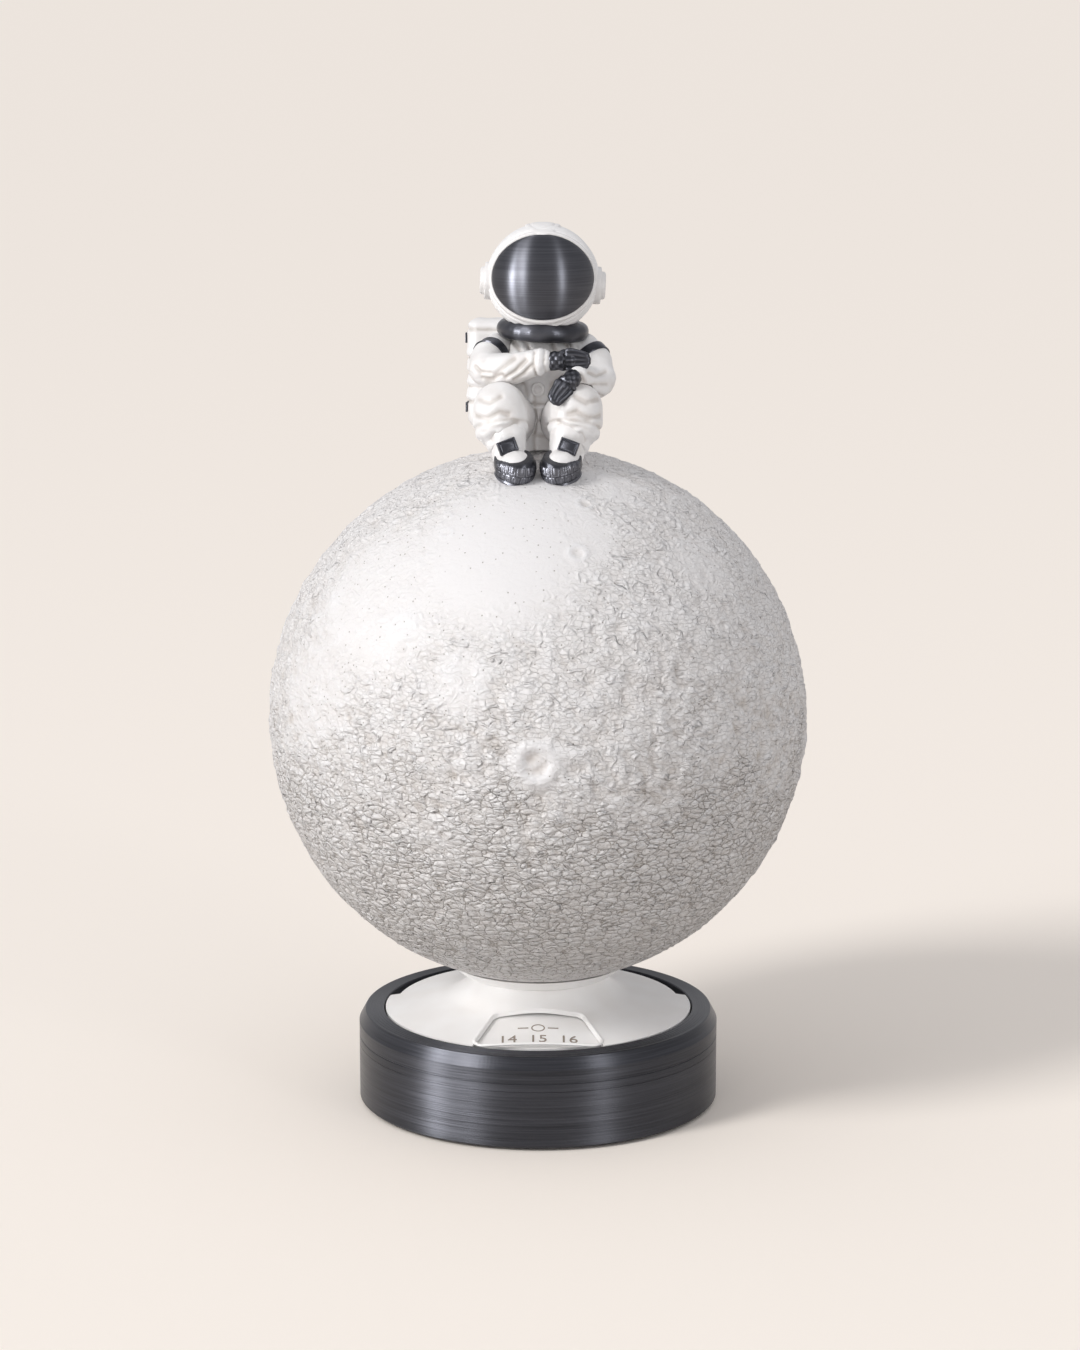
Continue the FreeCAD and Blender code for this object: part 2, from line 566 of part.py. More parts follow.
def lamp_strip():
    """Narrow circuit strip on the column's flat, its row of lamps and their frosted cover."""
    face = "-(column_r-column_flat)"
    low = f"{DECK_TOP}+{STRIP_LOW}"
    named(block("strip", "strip_width", "strip_thick", STRIP_LENGTH,
                ("0", f"{face}-strip_thick", low)), "led_strip")
    chips = []
    count = int(size("chip_count"))
    for number in range(count):
        rise = f"{low}+({STRIP_LENGTH})*{(number + 0.5) / count}-chip_size/2"
        chips.append(block(f"chip_{number}", "chip_size", "chip_thick", "chip_size",
                           ("0", f"{face}-strip_thick-chip_thick", rise)))
    named(group("chips", chips), "led_chips")
    cover_low = f"{DECK_TOP}+bracket_low+bracket_thick+touch_gap"
    cover_tall = f"{BRACKET_HIGH}-bracket_low-bracket_thick-2*touch_gap"
    outer = post("cover_outer", "cover_r", cover_tall, ("0", "0", cover_low))
    inner = post("cover_inner", "cover_r-cover_wall", cover_tall, ("0", "0", cover_low))
    back = block("cover_back", "2*cover_r", "cover_r", cover_tall, ("0", "0", cover_low))
    named(less("cover", outer, inner, back), "led_cover")


def phase_shade():
    """Half tube that keeps the light off one half of the moon, and the two plates that hold it."""
    low = f"{DECK_TOP}+bracket_low-shade_tail"
    tall = f"{BRACKET_HIGH}-bracket_low+bracket_thick+2*shade_tail"
    outer = post("shade_outer", "shade_r", tall, ("0", "0", low))
    inner = post("shade_inner", "shade_r-shade_wall", tall, ("0", "0", low))
    front = block("shade_front", "2*shade_r", "shade_r", tall, ("0", "-shade_r", low))
    named(less("shade", outer, inner, front), "phase_shade")
    plates = []
    for label, rise in (("lower_bracket", "bracket_low"), ("upper_bracket", BRACKET_HIGH)):
        height = f"{DECK_TOP}+{rise}"
        ring = post(label + "_ring", "bracket_ring_r", "bracket_thick", ("0", "0", height))
        wing = post(label + "_wing", "shade_r-shade_wall-touch_gap", "bracket_thick",
                    ("0", "0", height))
        front = block(label + "_front", "2*shade_r", "shade_r", "bracket_thick",
                      ("0", "-shade_r", height))
        bore = post(label + "_bore", "column_r+column_pin_gap", "bracket_thick",
                    ("0", "0", height))
        half = less(label + "_half", wing, front)
        plates.append(less(label + "_cut", joined(label + "_blank", ring, half), bore))
    named(group("brackets", plates), "shade_brackets")


# ---------------------------------------------------------------- electronics
def battery_parts():
    """Flat cell in an open tray on the floor, in front of the spindle."""
    gap = "tray_gap"
    front = f"-{BATTERY_FRONT}-{gap}-tray_wall"
    outer = block("tray_outer", f"2*{TRAY_HALF_X}",
                  f"battery_y+2*({gap}+tray_wall)", "tray_height", ("0", front, FLOOR_TOP))
    hollow = block("tray_hollow", f"battery_x+2*{gap}", f"battery_y+2*{gap}", "tray_height",
                   ("0", f"-{BATTERY_FRONT}-{gap}", f"{FLOOR_TOP}+tray_floor"))
    notch = block("tray_notch", "8", "tray_wall+2", "tray_height",
                  ("0", f"-{BATTERY_FRONT}+battery_y+{gap}-1", f"{FLOOR_TOP}+tray_floor"))
    named(less("tray", outer, hollow, notch), "battery_tray")
    cell = block("cell_block", "battery_x", "battery_y", "battery_z",
                 ("0", f"-{BATTERY_FRONT}", f"{FLOOR_TOP}+tray_floor"))
    doc.recompute()
    rounded = doc.addObject("Part::Fillet", "cell_rounded")
    rounded.Base = cell
    rounded.Edges = [(number, size("battery_rounding"), size("battery_rounding"))
                     for number in range(1, 13)]
    named(rounded, "battery_cell")


def control_board():
    """Charging and dimming board on four pillars, with its socket, switch, chip and coil."""
    main = block("board_main", "board_x", "board_y", "board_thick",
                 ("0", BOARD_FRONT, BOARD_LOW))
    tongue = block("board_tongue", "tongue_left+tongue_right", "tongue_y", "board_thick",
                   ("(tongue_right-tongue_left)/2", f"{BOARD_FRONT}+board_y", BOARD_LOW))
    lip = block("board_lip", "usb_width+2*lip_side", "lip_y+1", "board_thick",
                ("0", f"{BOARD_FRONT}+board_y+tongue_y-1", BOARD_LOW))
    near = f"{BOARD_FRONT}+pillar_inset"
    far = f"{BOARD_FRONT}+board_y-pillar_inset"
    side = "board_x/2-pillar_inset"
    places = [(f"{sign}*({side})", depth) for sign in (-1, 1) for depth in (near, far)]
    holes = screw_holes("board_hole", places, BOARD_LOW, "board_thick", "screw_r+screw_gap")
    named(less("board", joined("board_blank", main, tongue, lip), *holes), "control_board")
    pillars = []
    for number, (x, y) in enumerate(places):
        stem = post(f"pillar_{number}_stem", "pillar_r", "board_lift", (x, y, FLOOR_TOP))
        bore = post(f"pillar_{number}_bore", "screw_r+screw_gap", "board_lift", (x, y, FLOOR_TOP))
        pillars.append(less(f"pillar_{number}", stem, bore))
    named(group("pillars", pillars), "board_pillars")
    screws("board_screws", places, BOARD_TOP, "board_screw_length", up=False)
    named(block("chip_block", "chip_block_x", "chip_block_y", "chip_block_z",
                ("-board_x/6", f"{BOARD_FRONT}+board_y/3", BOARD_TOP)), "driver_chip")
    named(post("coil_body", "coil_r", "coil_height",
               ("board_x/7", f"{BOARD_FRONT}+board_y/3", BOARD_TOP)), "charging_coil")


def usb_socket():
    """Charging socket in the back of the base, open towards the back."""
    start = "base_r-usb_inset-usb_length"
    shell = usb_prism("usb_shell", "0", start, "usb_length")
    mouth = usb_prism("usb_mouth", "-usb_wall", f"{start}+usb_wall*3", "usb_length")
    tongue = block("usb_tongue", "usb_width-usb_tall", "usb_length-1", "usb_tongue_thick",
                   ("0", start, f"{BOARD_TOP}+usb_tall/2-usb_tongue_thick/2"))
    named(joined("usb", less("usb_hollow", shell, mouth), tongue), "usb_socket")


def button_parts():
    """Push button in the back wall, the plunger that it presses and the switch behind it."""
    face = "base_r+button_proud"
    flange_front = f"{INNER_R}-button_flange_back+button_flange"
    flange_rear = f"{INNER_R}-button_flange_back"
    stem_end = f"{flange_rear}-button_stem"
    cap = turned("button_cap", [
        ("0", stem_end), ("button_stem_r", stem_end), ("button_stem_r", flange_rear),
        ("button_flange_r", flange_rear), ("button_flange_r", flange_front),
        ("button_r", flange_front), ("button_r", f"{face}-button_dish*2"),
        ("button_r-button_dish*2", face), ("0", f"{face}-button_dish")], plane="XY_Plane")
    named(place(cap, ("0", "0", BUTTON_Z), turn="-button_turn"), "push_button")
    plunger = turned("plunger_pin", [
        ("0", f"{stem_end}-plunger_length"), ("plunger_r", f"{stem_end}-plunger_length"),
        ("plunger_r", stem_end), ("0", stem_end)], plane="XY_Plane")
    named(place(plunger, ("0", "0", BUTTON_Z), turn="-button_turn"), "switch_plunger")
    front = f"{stem_end}-plunger_length+switch_overlap"
    body = doc.addObject("PartDesign::Body", "switch_body")
    sketch = outline(body, "switch_outline", "XY_Plane", [
        ("-switch_width/2", f"{front}-switch_deep"), ("switch_width/2", f"{front}-switch_deep"),
        ("switch_width/2", front), ("-switch_width/2", front)])
    pad = body.newObject("PartDesign::Pad", "switch_pad")
    pad.Profile = sketch
    pad.setExpression("Length", bound("switch_tall"))
    place(body, ("0", "0", BOARD_TOP), turn="-button_turn")
    bore = turned("switch_bore_tool", [
        ("0", f"{front}-switch_bore"), ("plunger_r+switch_bore_gap", f"{front}-switch_bore"),
        ("plunger_r+switch_bore_gap", f"{front}+1"), ("0", f"{front}+1")], plane="XY_Plane")
    place(bore, ("0", "0", BUTTON_Z), turn="-button_turn")
    named(less("switch", body, bore), "tact_switch")


def bent_lead(label, corners, bend):
    """A wire of straight runs joined by arcs of one radius."""
    spots = [Vector(*(size(value) for value in corner)) for corner in corners]
    edges = []
    start = spots[0]
    for before, corner, after in zip(spots, spots[1:], spots[2:]):
        way_in = (corner - before).normalize()
        way_out = (after - corner).normalize()
        half_turn = way_in.getAngle(way_out) / 2
        back = bend * math.tan(half_turn)
        first = corner - way_in * back
        last = corner + way_out * back
        sideways = (way_out - way_in).normalize()
        centre = corner + sideways * (bend / math.cos(half_turn))
        middle = centre - sideways * bend
        edges.append(Part.LineSegment(start, first).toShape())
        edges.append(Part.Arc(first, middle, last).toShape())
        start = last
    edges.append(Part.LineSegment(start, spots[-1]).toShape())
    path = Part.Wire(edges)
    heading = (spots[1] - spots[0]).normalize()
    ring = Part.Wire([Part.Circle(spots[0], heading, size("lead_r")).toShape()])
    tube = path.makePipeShell([ring], True, False)
    print(label, "length", round(path.Length, 1), "volume", round(tube.Volume, 1),
          "section times length", round(math.pi * size("lead_r") ** 2 * path.Length, 1))
    solid_of(label, tube)


def inner_leads():
    """Lead from the cell to the board and lead from the board up into the column."""
    lift = f"{FLOOR_TOP}+tray_floor+lead_lift"
    entry = f"{BOARD_FRONT}+lead_entry"
    arch = f"{BOARD_TOP}+battery_lead_arch"
    bent_lead("battery_lead", [
        ("0", f"-{BATTERY_FRONT}+battery_y+touch_gap", lift),
        ("0", f"{BOARD_FRONT}-lead_setback", lift),
        ("0", f"{BOARD_FRONT}-lead_setback", arch),
        ("0", entry, arch),
        ("0", entry, BOARD_TOP)], size("battery_lead_bend"))
    arch = f"{BOARD_TOP}+column_lead_arch"
    bent_lead("column_lead", [
        ("column_lead_x", entry, BOARD_TOP),
        ("column_lead_x", entry, arch),
        ("column_lead_x", "column_lead_y", arch),
        ("column_lead_x", "column_lead_y", f"{DECK_TOP}+column_height-cap_plug-touch_gap")],
        size("column_lead_bend"))


# ---------------------------------------------------------------- moon
def moon_sphere(extra=0.0):
    """The moon's outer ball, grown by a small clearance."""
    return Part.makeSphere(size("moon_r") + extra, Vector(0, 0, size(MOON_Z)))


def moon_globe():
    """Thin printed ball with a cap that is bonded on top, and the thick flat ring that is set in
    its mouth and rests on the collar."""
    ball = primitive("Sphere", "moon_ball", ("0", "0", MOON_Z), Radius="moon_r")
    hollow = primitive("Sphere", "moon_hollow", ("0", "0", MOON_Z), Radius="moon_r-moon_wall")
    shell = less("moon_shell", ball, hollow)
    pad = post("mouth_pad", "mouth_edge_r+mouth_ring_over", "mouth_ring", ("0", "0", MOUTH))
    seat = shared("mouth_seat", pad, ball)
    below = post("mouth_below", "moon_r", "moon_r", ("0", "0", f"{MOUTH}-moon_r"))
    hole = post("mouth_hole", "collar_bore_r+spigot_wall+mouth_slip", "mouth_ring+2",
                ("0", "0", f"{MOUTH}-1"))
    peg = post("peg_hole", "peg_r+peg_gap", "moon_wall+4", ("0", "0", f"{MOON_TOP}-moon_wall-2"))
    blank = less("moon_cut", joined("moon_blank", shell, seat), below, hole, peg)
    core = post("mouth_core", "mouth_edge_r+mouth_ring_over", "2*mouth_ring", ("0", "0", MOUTH))
    skin = less("moon_shell_only", blank, core)
    upper = post("moon_upper", "moon_r+1", "moon_r", ("0", "0", f"{MOON_Z}+cap_up"))
    named(less("moon_lower_part", skin, upper), "moon_globe")
    named(shared("moon_upper_part", skin, upper), "moon_cap")
    named(shared("moon_ring_only", blank, core), "moon_mouth_ring")
    named(post("peg_pin", "peg_r", "peg_length",
               ("0", "0", f"{MOON_TOP}-moon_wall-peg_in_moon")), "figure_peg")


# ---------------------------------------------------------------- seated figure
def at_top(x, y, up):
    """A point of the figure, its height taken from the top of the moon."""
    return Vector(size(x), size(y), size(f"{MOON_TOP}+{up}"))


def ring_wire(centre, direction, radius_x, radius_y=None):
    """An ellipse or circle square to a direction."""
    radius_y = radius_y or radius_x
    if abs(radius_x - radius_y) < 1e-6:
        curve = Part.Circle(Vector(), Vector(0, 0, 1), radius_x)
    elif radius_x > radius_y:
        curve = Part.Ellipse(Vector(), radius_x, radius_y)
    else:
        curve = Part.Ellipse(Vector(0, radius_y, 0), Vector(-radius_x, 0, 0), Vector())
    edge = curve.toShape()
    edge.Placement = Placement(centre, Rotation(Vector(0, 0, 1), direction))
    return Part.Wire([edge])


def limb(joints):
    """Chain of balls at (point, radius) joints, each two bridged by the cone that touches both."""
    balls = [Part.makeSphere(radius, point) for point, radius in joints]
    bridges = []
    for (near, near_r), (far, far_r) in zip(joints, joints[1:]):
        way = (far - near).normalize()
        lean = (near_r - far_r) / (far - near).Length
        level = math.sqrt(1 - lean ** 2)
        start = near + way * (near_r * lean)
        length = (far + way * (far_r * lean) - start).Length
        if abs(near_r - far_r) < 1e-6:
            bridges.append(Part.makeCylinder(near_r, length, start, way))
        else:
            bridges.append(Part.makeCone(near_r * level, far_r * level, length, start, way))
    return balls[0].fuse(balls[1:] + bridges)


def ellipsoid(centre, half_x, half_y, half_z, rotation=None):
    """A ball stretched along three axes, then turned."""
    stretch = FreeCAD.Matrix()
    stretch.scale(half_x, half_y, half_z)
    ball = Part.makeSphere(1.0).transformGeometry(stretch)
    ball.Placement = Placement(centre, rotation or Rotation())
    return ball


def helmet_ball(grow=0.0):
    """The helmet's outer form, grown by a clearance or shrunk by a wall."""
    return Part.makeSphere(size("helmet_r") + grow, at_top("helmet_x", "helmet_y", "helmet_up"))


def forward_oval(half_x, half_z, near, far):
    """An oval prism along -Y through the middle of the helmet, between two distances."""
    centre = at_top("helmet_x", "helmet_y", "helmet_up")
    wide = Part.Ellipse(Vector(), half_x, half_z).toShape()
    wide.Placement = Placement(centre - Vector(0, near, 0), Rotation(Vector(1, 0, 0), 90))
    return Part.Face(Part.Wire([wide])).extrude(Vector(0, -(far - near), 0))


def helmet_parts():
    """Helmet shell, dark visor, the raised rim around it, the pad on top and the ear pods."""
    reach = size("helmet_r") + 4
    wall = size("helmet_wall")
    rim_x = size("visor_half_x+visor_rim_width")
    rim_z = size("visor_half_z+visor_rim_width")
    span = 4 * size("helmet_r")
    neck_cut = Part.makeBox(span, span, span,
                            at_top("helmet_x-2*helmet_r", "helmet_y-2*helmet_r",
                                   "neck_ring_up-4*helmet_r"))
    centre = at_top("helmet_x", "helmet_y", "helmet_up")
    rim_hole = forward_oval(rim_x, rim_z, 0, reach)
    shell = helmet_ball().cut(helmet_ball(-wall)).cut(rim_hole).cut(neck_cut)
    solid_of("helmet_shell", shell)
    rim_band = forward_oval(rim_x - 0.02, rim_z - 0.02, 0, reach)
    lens_hole = forward_oval(size("visor_half_x+visor_gap"), size("visor_half_z+visor_gap"),
                             0, reach)
    proud = size("visor_rim_proud")
    rim = helmet_ball(proud).cut(helmet_ball(-wall)).common(rim_band).cut(lens_hole)
    solid_of("visor_rim", rim)
    lens_ball = helmet_ball(size("visor_front"))
    lens_back = helmet_ball(size("visor_front-visor_thick"))
    lens_edge = forward_oval(size("visor_half_x"), size("visor_half_z"), 0, reach)
    solid_of("visor", lens_ball.cut(lens_back).common(lens_edge))
    pad_box = Part.makeBox(size("pad_x"), size("pad_y"), reach,
                           centre + Vector(-size("pad_x") / 2, -size("pad_y") / 2, 0))
    pad_box = pad_box.makeFillet(size("pad_x") / 3, [pad_box.Edges[i] for i in (0, 2, 4, 6)])
    pad = helmet_ball(size("pad_proud")).cut(helmet_ball(0.02)).common(pad_box)
    solid_of("helmet_pad", pad.cut(helmet_ball(proud + 0.05).common(rim_band)))
    pods = []
    for side in (-1, 1):
        start = centre + Vector(0, size("ear_y") + 1.0, 0)
        outward = Vector(side, 0, 0)
        reach_out = size("helmet_r+ear_proud")
        disc = Part.makeCylinder(size("ear_r"), reach_out - size("ear_step"), start, outward)
        boss = Part.makeCylinder(size("ear_inner_r"), reach_out, start, outward)
        pod = disc.fuse(boss).cut(helmet_ball(0.02)).cut(
            helmet_ball(proud + 0.05).common(rim_band))
        pods.append(biggest(pod))
    solid_of("ear_pods", Part.makeCompound(pods))


def neck_ring():
    """Padded dark ring that the helmet is seated on."""
    centre = at_top("helmet_x", "helmet_y+1", "neck_ring_up")
    torus = Part.makeTorus(size("neck_ring_r"), size("neck_ring_tube"))
    core = Part.makeCylinder(size("neck_ring_r"), size("neck_ring_tube"),
                             Vector(0, 0, -size("neck_ring_tube")))
    ring = torus.fuse(core)
    ring.Placement = Placement(centre, Rotation(Vector(0, 1, 0), size("neck_ring_tilt")))
    rim_x = size("visor_half_x+visor_rim_width")
    rim_z = size("visor_half_z+visor_rim_width")
    rim_room = helmet_ball(size("visor_rim_proud") + 0.02).common(
        forward_oval(rim_x, rim_z, 0, size("helmet_r") + 4))
    solid_of("neck_ring", ring.cut(helmet_ball(0.02)).cut(rim_room))
    return ring


def torso_form():
    """Body of the suit: broad seat, drawn in to the neck."""
    half_x = size("torso_half_x")
    half_y = size("torso_half_y")
    tall = size("torso_up")
    stations = ((-0.16, 0.86), (-0.04, 0.99), (0.12, 1.03), (0.35, 1.0), (0.58, 0.97),
                (0.78, 0.92), (0.91, 0.76), (1.0, 0.5))
    wires = []
    for share, swell in stations:
        centre = at_top("0", "torso_y", str(round(share * tall, 4)))
        wires.append(ring_wire(centre, Vector(0, 0, 1), half_x * swell, half_y * swell))
    return Part.makeLoft(wires, True, False)


# Joints of the arms: three places, each a formula, and the radius there.
LEFT_UPPER_ARM = (("-shoulder_x+2.6", "torso_y-1", "shoulder_up-0.4", "arm_r-0.5"),
                  ("-shoulder_x", "torso_y-5", "shoulder_up-2.4", "arm_r"),
                  ("-shoulder_x-0.8", "torso_y-10", "shoulder_up-4.6", "elbow_r"))
LEFT_FOREARM = (("-shoulder_x+0.6", "torso_y-11.2", "shoulder_up-4.9", "elbow_r-0.5"),
                ("-shoulder_x+6.4", "torso_y-13.8", "shoulder_up-4.4", "elbow_r-0.6"),
                ("-shoulder_x+14.2", "torso_y-16", "shoulder_up-2.1", "wrist_r"))
RIGHT_UPPER_ARM = (("shoulder_x-1.0", "torso_y-1", "shoulder_up-0.4", "arm_r-0.5"),
                   ("shoulder_x+1.8", "torso_y-4", "shoulder_up-3.6", "arm_r"),
                   ("shoulder_x+3.0", "torso_y-8", "shoulder_up-8.0", "elbow_r"))
RIGHT_FOREARM = (("shoulder_x+2.4", "torso_y-9.2", "shoulder_up-8.8", "elbow_r-0.5"),
                 ("shoulder_x+0.2", "torso_y-11.6", "shoulder_up-8.4", "elbow_r-0.7"),
                 ("shoulder_x-2.6", "torso_y-16", "shoulder_up-6.2", "wrist_r-0.2"))


def arm_forms():
    """Upper arms that come forward from the shoulders, and the crossed forearms."""
    left, left_fore, right, right_fore = (
        [(at_top(x, y, up), size(radius)) for x, y, up, radius in joints]
        for joints in (LEFT_UPPER_ARM, LEFT_FOREARM, RIGHT_UPPER_ARM, RIGHT_FOREARM))
    left_arm = limb(left).fuse(limb(left_fore))
    right_arm = limb(right).fuse(limb(right_fore))
    return left_arm, right_arm, left, left_fore, right, right_fore


def arm_band(joints, arm):
    """Dark band around an upper arm, between its first two joints."""
    near, far = joints[0][0], joints[1][0]
    way = (far - near).normalize()
    centre = near + (far - near) * 0.72
    width = size("band_width")
    outer = joints[1][1] + size("band_proud")
    slab = Part.makeCylinder(outer, width, centre - way * (width / 2), way)
    grown = limb([(joint[0], joint[1] + size("band_proud")) for joint in joints])
    return slab.common(grown).cut(arm)


def glove(start, end):
    """Hand in a thick glove: full at the cuff and palm, slimmer at the finger tips."""
    middle = start + (end - start) * 0.42
    return limb([(start, size("glove_r-0.3")), (middle, size("glove_r")),
                 (end, size("finger_r"))])


def leg_forms(side):
    """Thigh from the seat up to the knee, and the shin down to the boot."""
    def spot(x, y, up):
        point = at_top(x, y, up)
        return Vector(point.x * side, point.y, point.z)
    thigh = limb([(spot("hip_x", "torso_y-2", "hip_up-2.0"), size("thigh_r-0.4")),
                  (spot("hip_x+1", "knee_y/2", "hip_up+1.0"), size("thigh_r")),
                  (spot("knee_x", "knee_y+1.5", "knee_up-1.0"), size("knee_r-0.2"))])
    shin = limb([(spot("ankle_x", "ankle_y", "ankle_up-0.6"), size("ankle_r-0.8")),
                 (spot("ankle_x+0.5", "ankle_y+0.6", "ankle_up+2.6"), size("ankle_r+0.7")),
                 (spot("knee_x", "knee_y-0.6", "knee_up-3.6"), size("knee_r")),
                 (spot("knee_x", "knee_y", "knee_up-0.4"), size("knee_r"))])
    return thigh.fuse(shin)


def boot_forms(side):
    """White boot, the dark sole and toe cap under it, and the plate on its front."""
    centre = at_top("boot_x", "boot_y", "boot_up")
    centre = Vector(centre.x * side, centre.y, centre.z)
    heading = Rotation(Vector(0, 0, 1), -side * size("boot_toe_in"))
    pitch = Rotation(Vector(1, 0, 0), size("boot_pitch"))
    turn = heading.multiply(pitch)
    form = ellipsoid(centre, size("boot_half_x"), size("boot_half_y"), size("boot_half_z"), turn)
    span = 3 * size("boot_half_y")
    lower = Part.makeBox(2 * span, 2 * span, span, Vector(-span, -span, -span - size("sole_drop")))
    front = Part.makeBox(2 * span, span, span + size("toe_cap"),
                         Vector(-span, -span - size("boot_half_y-toe_depth"), -span))
    lower = lower.fuse(front)
    lower.Placement = Placement(centre, turn)
    plate = Part.makeBox(size("shin_plate_x"), size("shin_plate_thick+2"), size("shin_plate_z"),
                         Vector(-size("shin_plate_x") / 2, -size("ankle_r+0.2"), 3.0))
    plate.Placement = Placement(Vector(centre.x * 1.14, centre.y + 2.6, centre.z),
                                heading.multiply(Rotation(Vector(1, 0, 0), -12)))
    return form, lower, plate


def backpack_form():
    """Rounded pack on the back, turned a little with the shoulders."""
    wide, deep, tall = size("pack_x"), size("pack_y"), size("pack_tall")
    box = Part.makeBox(wide, deep, tall, Vector(-wide / 2, 0, 0))
    box = box.makeFillet(size("pack_rounding"), box.Edges)
    base = at_top("pack_shift", "pack_back-pack_y/2", "pack_up")
    where = Placement(base, Rotation(Vector(0, 0, 1), size("pack_turn")))
    box.Placement = where
    straps = []
    for rise in (size("strap_low"), size("strap_high")):
        grown = Part.makeBox(wide + 2 * size("strap_proud"), deep + 2 * size("strap_proud"),
                             size("strap_height"),
                             Vector(-wide / 2 - size("strap_proud"), -size("strap_proud"), rise))
        upright = [edge for edge in grown.Edges if abs(edge.tangentAt(edge.FirstParameter).z) > 0.9]
        grown = grown.makeFillet(size("pack_rounding"), upright)
        front = Part.makeBox(2 * wide, deep / 2, tall, Vector(-wide, -deep / 4, 0))
        grown = grown.cut(front)
        grown.Placement = where
        straps.append(grown.cut(box))
    return box, straps


def other_side(side):
    """A large box over the other half of the figure, which keeps a left and right pair apart."""
    reach = size("moon_r")
    low = size(MOON_TOP) - reach
    return Part.makeBox(reach, 2 * reach, 2 * reach, Vector(-reach if side > 0 else 0.0, -reach, low))


def figure():
    """Every piece of the seated figure, each cut clear of the ones it rests against."""
    gap = size("figure_gap")
    moon = moon_sphere(gap)
    helmet_parts()
    neck = neck_ring()
    neck_room = neck.fuse(helmet_ball(gap))
    peg = Part.makeCylinder(size("peg_r+peg_gap"), size("peg_length"),
                            at_top("0", "0", "-moon_wall-peg_in_moon"))
    torso = torso_form().cut(moon).cut(neck_room).cut(peg)
    pack, straps = backpack_form()
    left_arm, right_arm, left_joints, left_fore, right_joints, right_fore = arm_forms()
    legs = {side: leg_forms(side) for side in (-1, 1)}
    boots = {side: boot_forms(side) for side in (-1, 1)}
    names = {-1: "left", 1: "right"}
    plates = []
    for side in (-1, 1):
        form, lower, plate = boots[side]
        form = form.cut(moon).cut(other_side(side))
        solid_of(names[side] + "_boot", biggest(form.cut(lower)))
        solid_of(names[side] + "_sole", biggest(form.common(lower)))
        plates.append(biggest(plate.cut(form).cut(legs[side])))
    solid_of("shin_plates", Part.makeCompound(plates))
    knees = legs[-1].fuse(legs[1])
    boots_room = boots[-1][0].fuse(boots[1][0]).fuse(boots[-1][2]).fuse(boots[1][2])

    for side in (-1, 1):
        leg = legs[side].cut(boots_room).cut(moon).cut(other_side(side)).cut(peg)
        legs[side] = biggest(leg)
        solid_of(names[side] + "_leg", legs[side])
    legs_room = legs[-1].fuse(legs[1])
    wrist = left_fore[-1][0]
    upper_glove = glove(wrist + Vector(3.4, -0.3, 0.3), wrist + Vector(12.2, -0.7, 0.5))
    wrist = right_fore[-1][0]
    lower_glove = glove(wrist + Vector(-1.4, -3.7, 0.1), wrist + Vector(-6.5, -8.4, -4.9))
    left_clear = left_arm.cut(knees).cut(neck_room)
    right_clear = right_arm.cut(knees).cut(neck_room).cut(left_arm)
    solid_of("upper_glove", biggest(upper_glove.cut(left_arm).cut(right_arm)))
    lower_clear = lower_glove.cut(right_clear).cut(upper_glove).cut(legs_room)
    solid_of("lower_glove", biggest(lower_clear))
    band_set = [biggest(band.cut(torso).cut(pack).cut(neck_room))
                for band in (arm_band(left_joints, left_arm), arm_band(right_joints, right_arm))]
    solid_of("arm_bands", Part.makeCompound(band_set))
    left_clear = biggest(left_clear)
    right_clear = biggest(right_clear)
    solid_of("left_arm", left_clear)
    solid_of("right_arm", right_clear)

    torso = torso.cut(legs_room).cut(left_arm).cut(right_arm)
    bands = band_set[0].fuse(band_set[1])
    pack = pack.cut(torso_form()).cut(left_arm).cut(right_arm).cut(neck_room).cut(bands)
    solid_of("torso", biggest(torso.cut(boots_room)))
    pack = biggest(pack)
    solid_of("backpack", pack)
    strap_set = [biggest(strap.cut(torso_form())) for strap in straps]
    solid_of("backpack_straps", Part.makeCompound(strap_set))

    front = at_top("0", "torso_y-torso_half_y-button_chest_proud", "button_chest_up")
    stud = Part.makeCylinder(size("button_chest_r"), size("button_chest_proud") + 3, front,
                             Vector(0, 1, 0))
    solid_of("chest_button", biggest(stud.cut(nodes["torso"].Shape)))


def biggest(shape):
    """The main solid of a cut, without any sliver that the cut leaves."""
    return max(shape.Solids, key=lambda solid: solid.Volume)


# ---------------------------------------------------------------- build, check and write
base_cup()
bezel_ring()
bottom_plate()
rubber_feet()
deck_plate()
phase_dial()
bearing_parts()
cover_plate()
moon_collar()
light_column()
lamp_strip()
phase_shade()
battery_parts()
control_board()
usb_socket()
button_parts()
inner_leads()
moon_globe()
doc.recompute()
figure()
doc.recompute()

faults = [f"{item.Name}: {item.State}" for item in doc.Objects
          if {"Invalid", "Error"} & set(item.State)]
for label, part in nodes.items():
    if part.Shape.isNull() or not part.Shape.isValid() or not part.Shape.Solids:
        faults.append(f"{label}: no valid solid")
if faults:
    raise SystemExit("not written: " + "; ".join(faults))
for label, part in nodes.items():
    part.Shape.exportStep(f"parts/{label}.step")
print(len(nodes), "sub-parts written")
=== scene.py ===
# %% [markdown]
# # A moon lamp in Blender
# The lamp is a printed hollow moon that rests in a collar on a turning white plate, in a dark
# round base, with a small seated figure on top. The CAD model gives every part its place and
# size. This lesson loads it, keeps the parts whose shape is right and models again the ones
# whose surface carries the looks.

# %% Load the frame
import math
import random

import bmesh
import bpy
import numpy as np
from mathutils import Euler, Matrix, Vector, noise


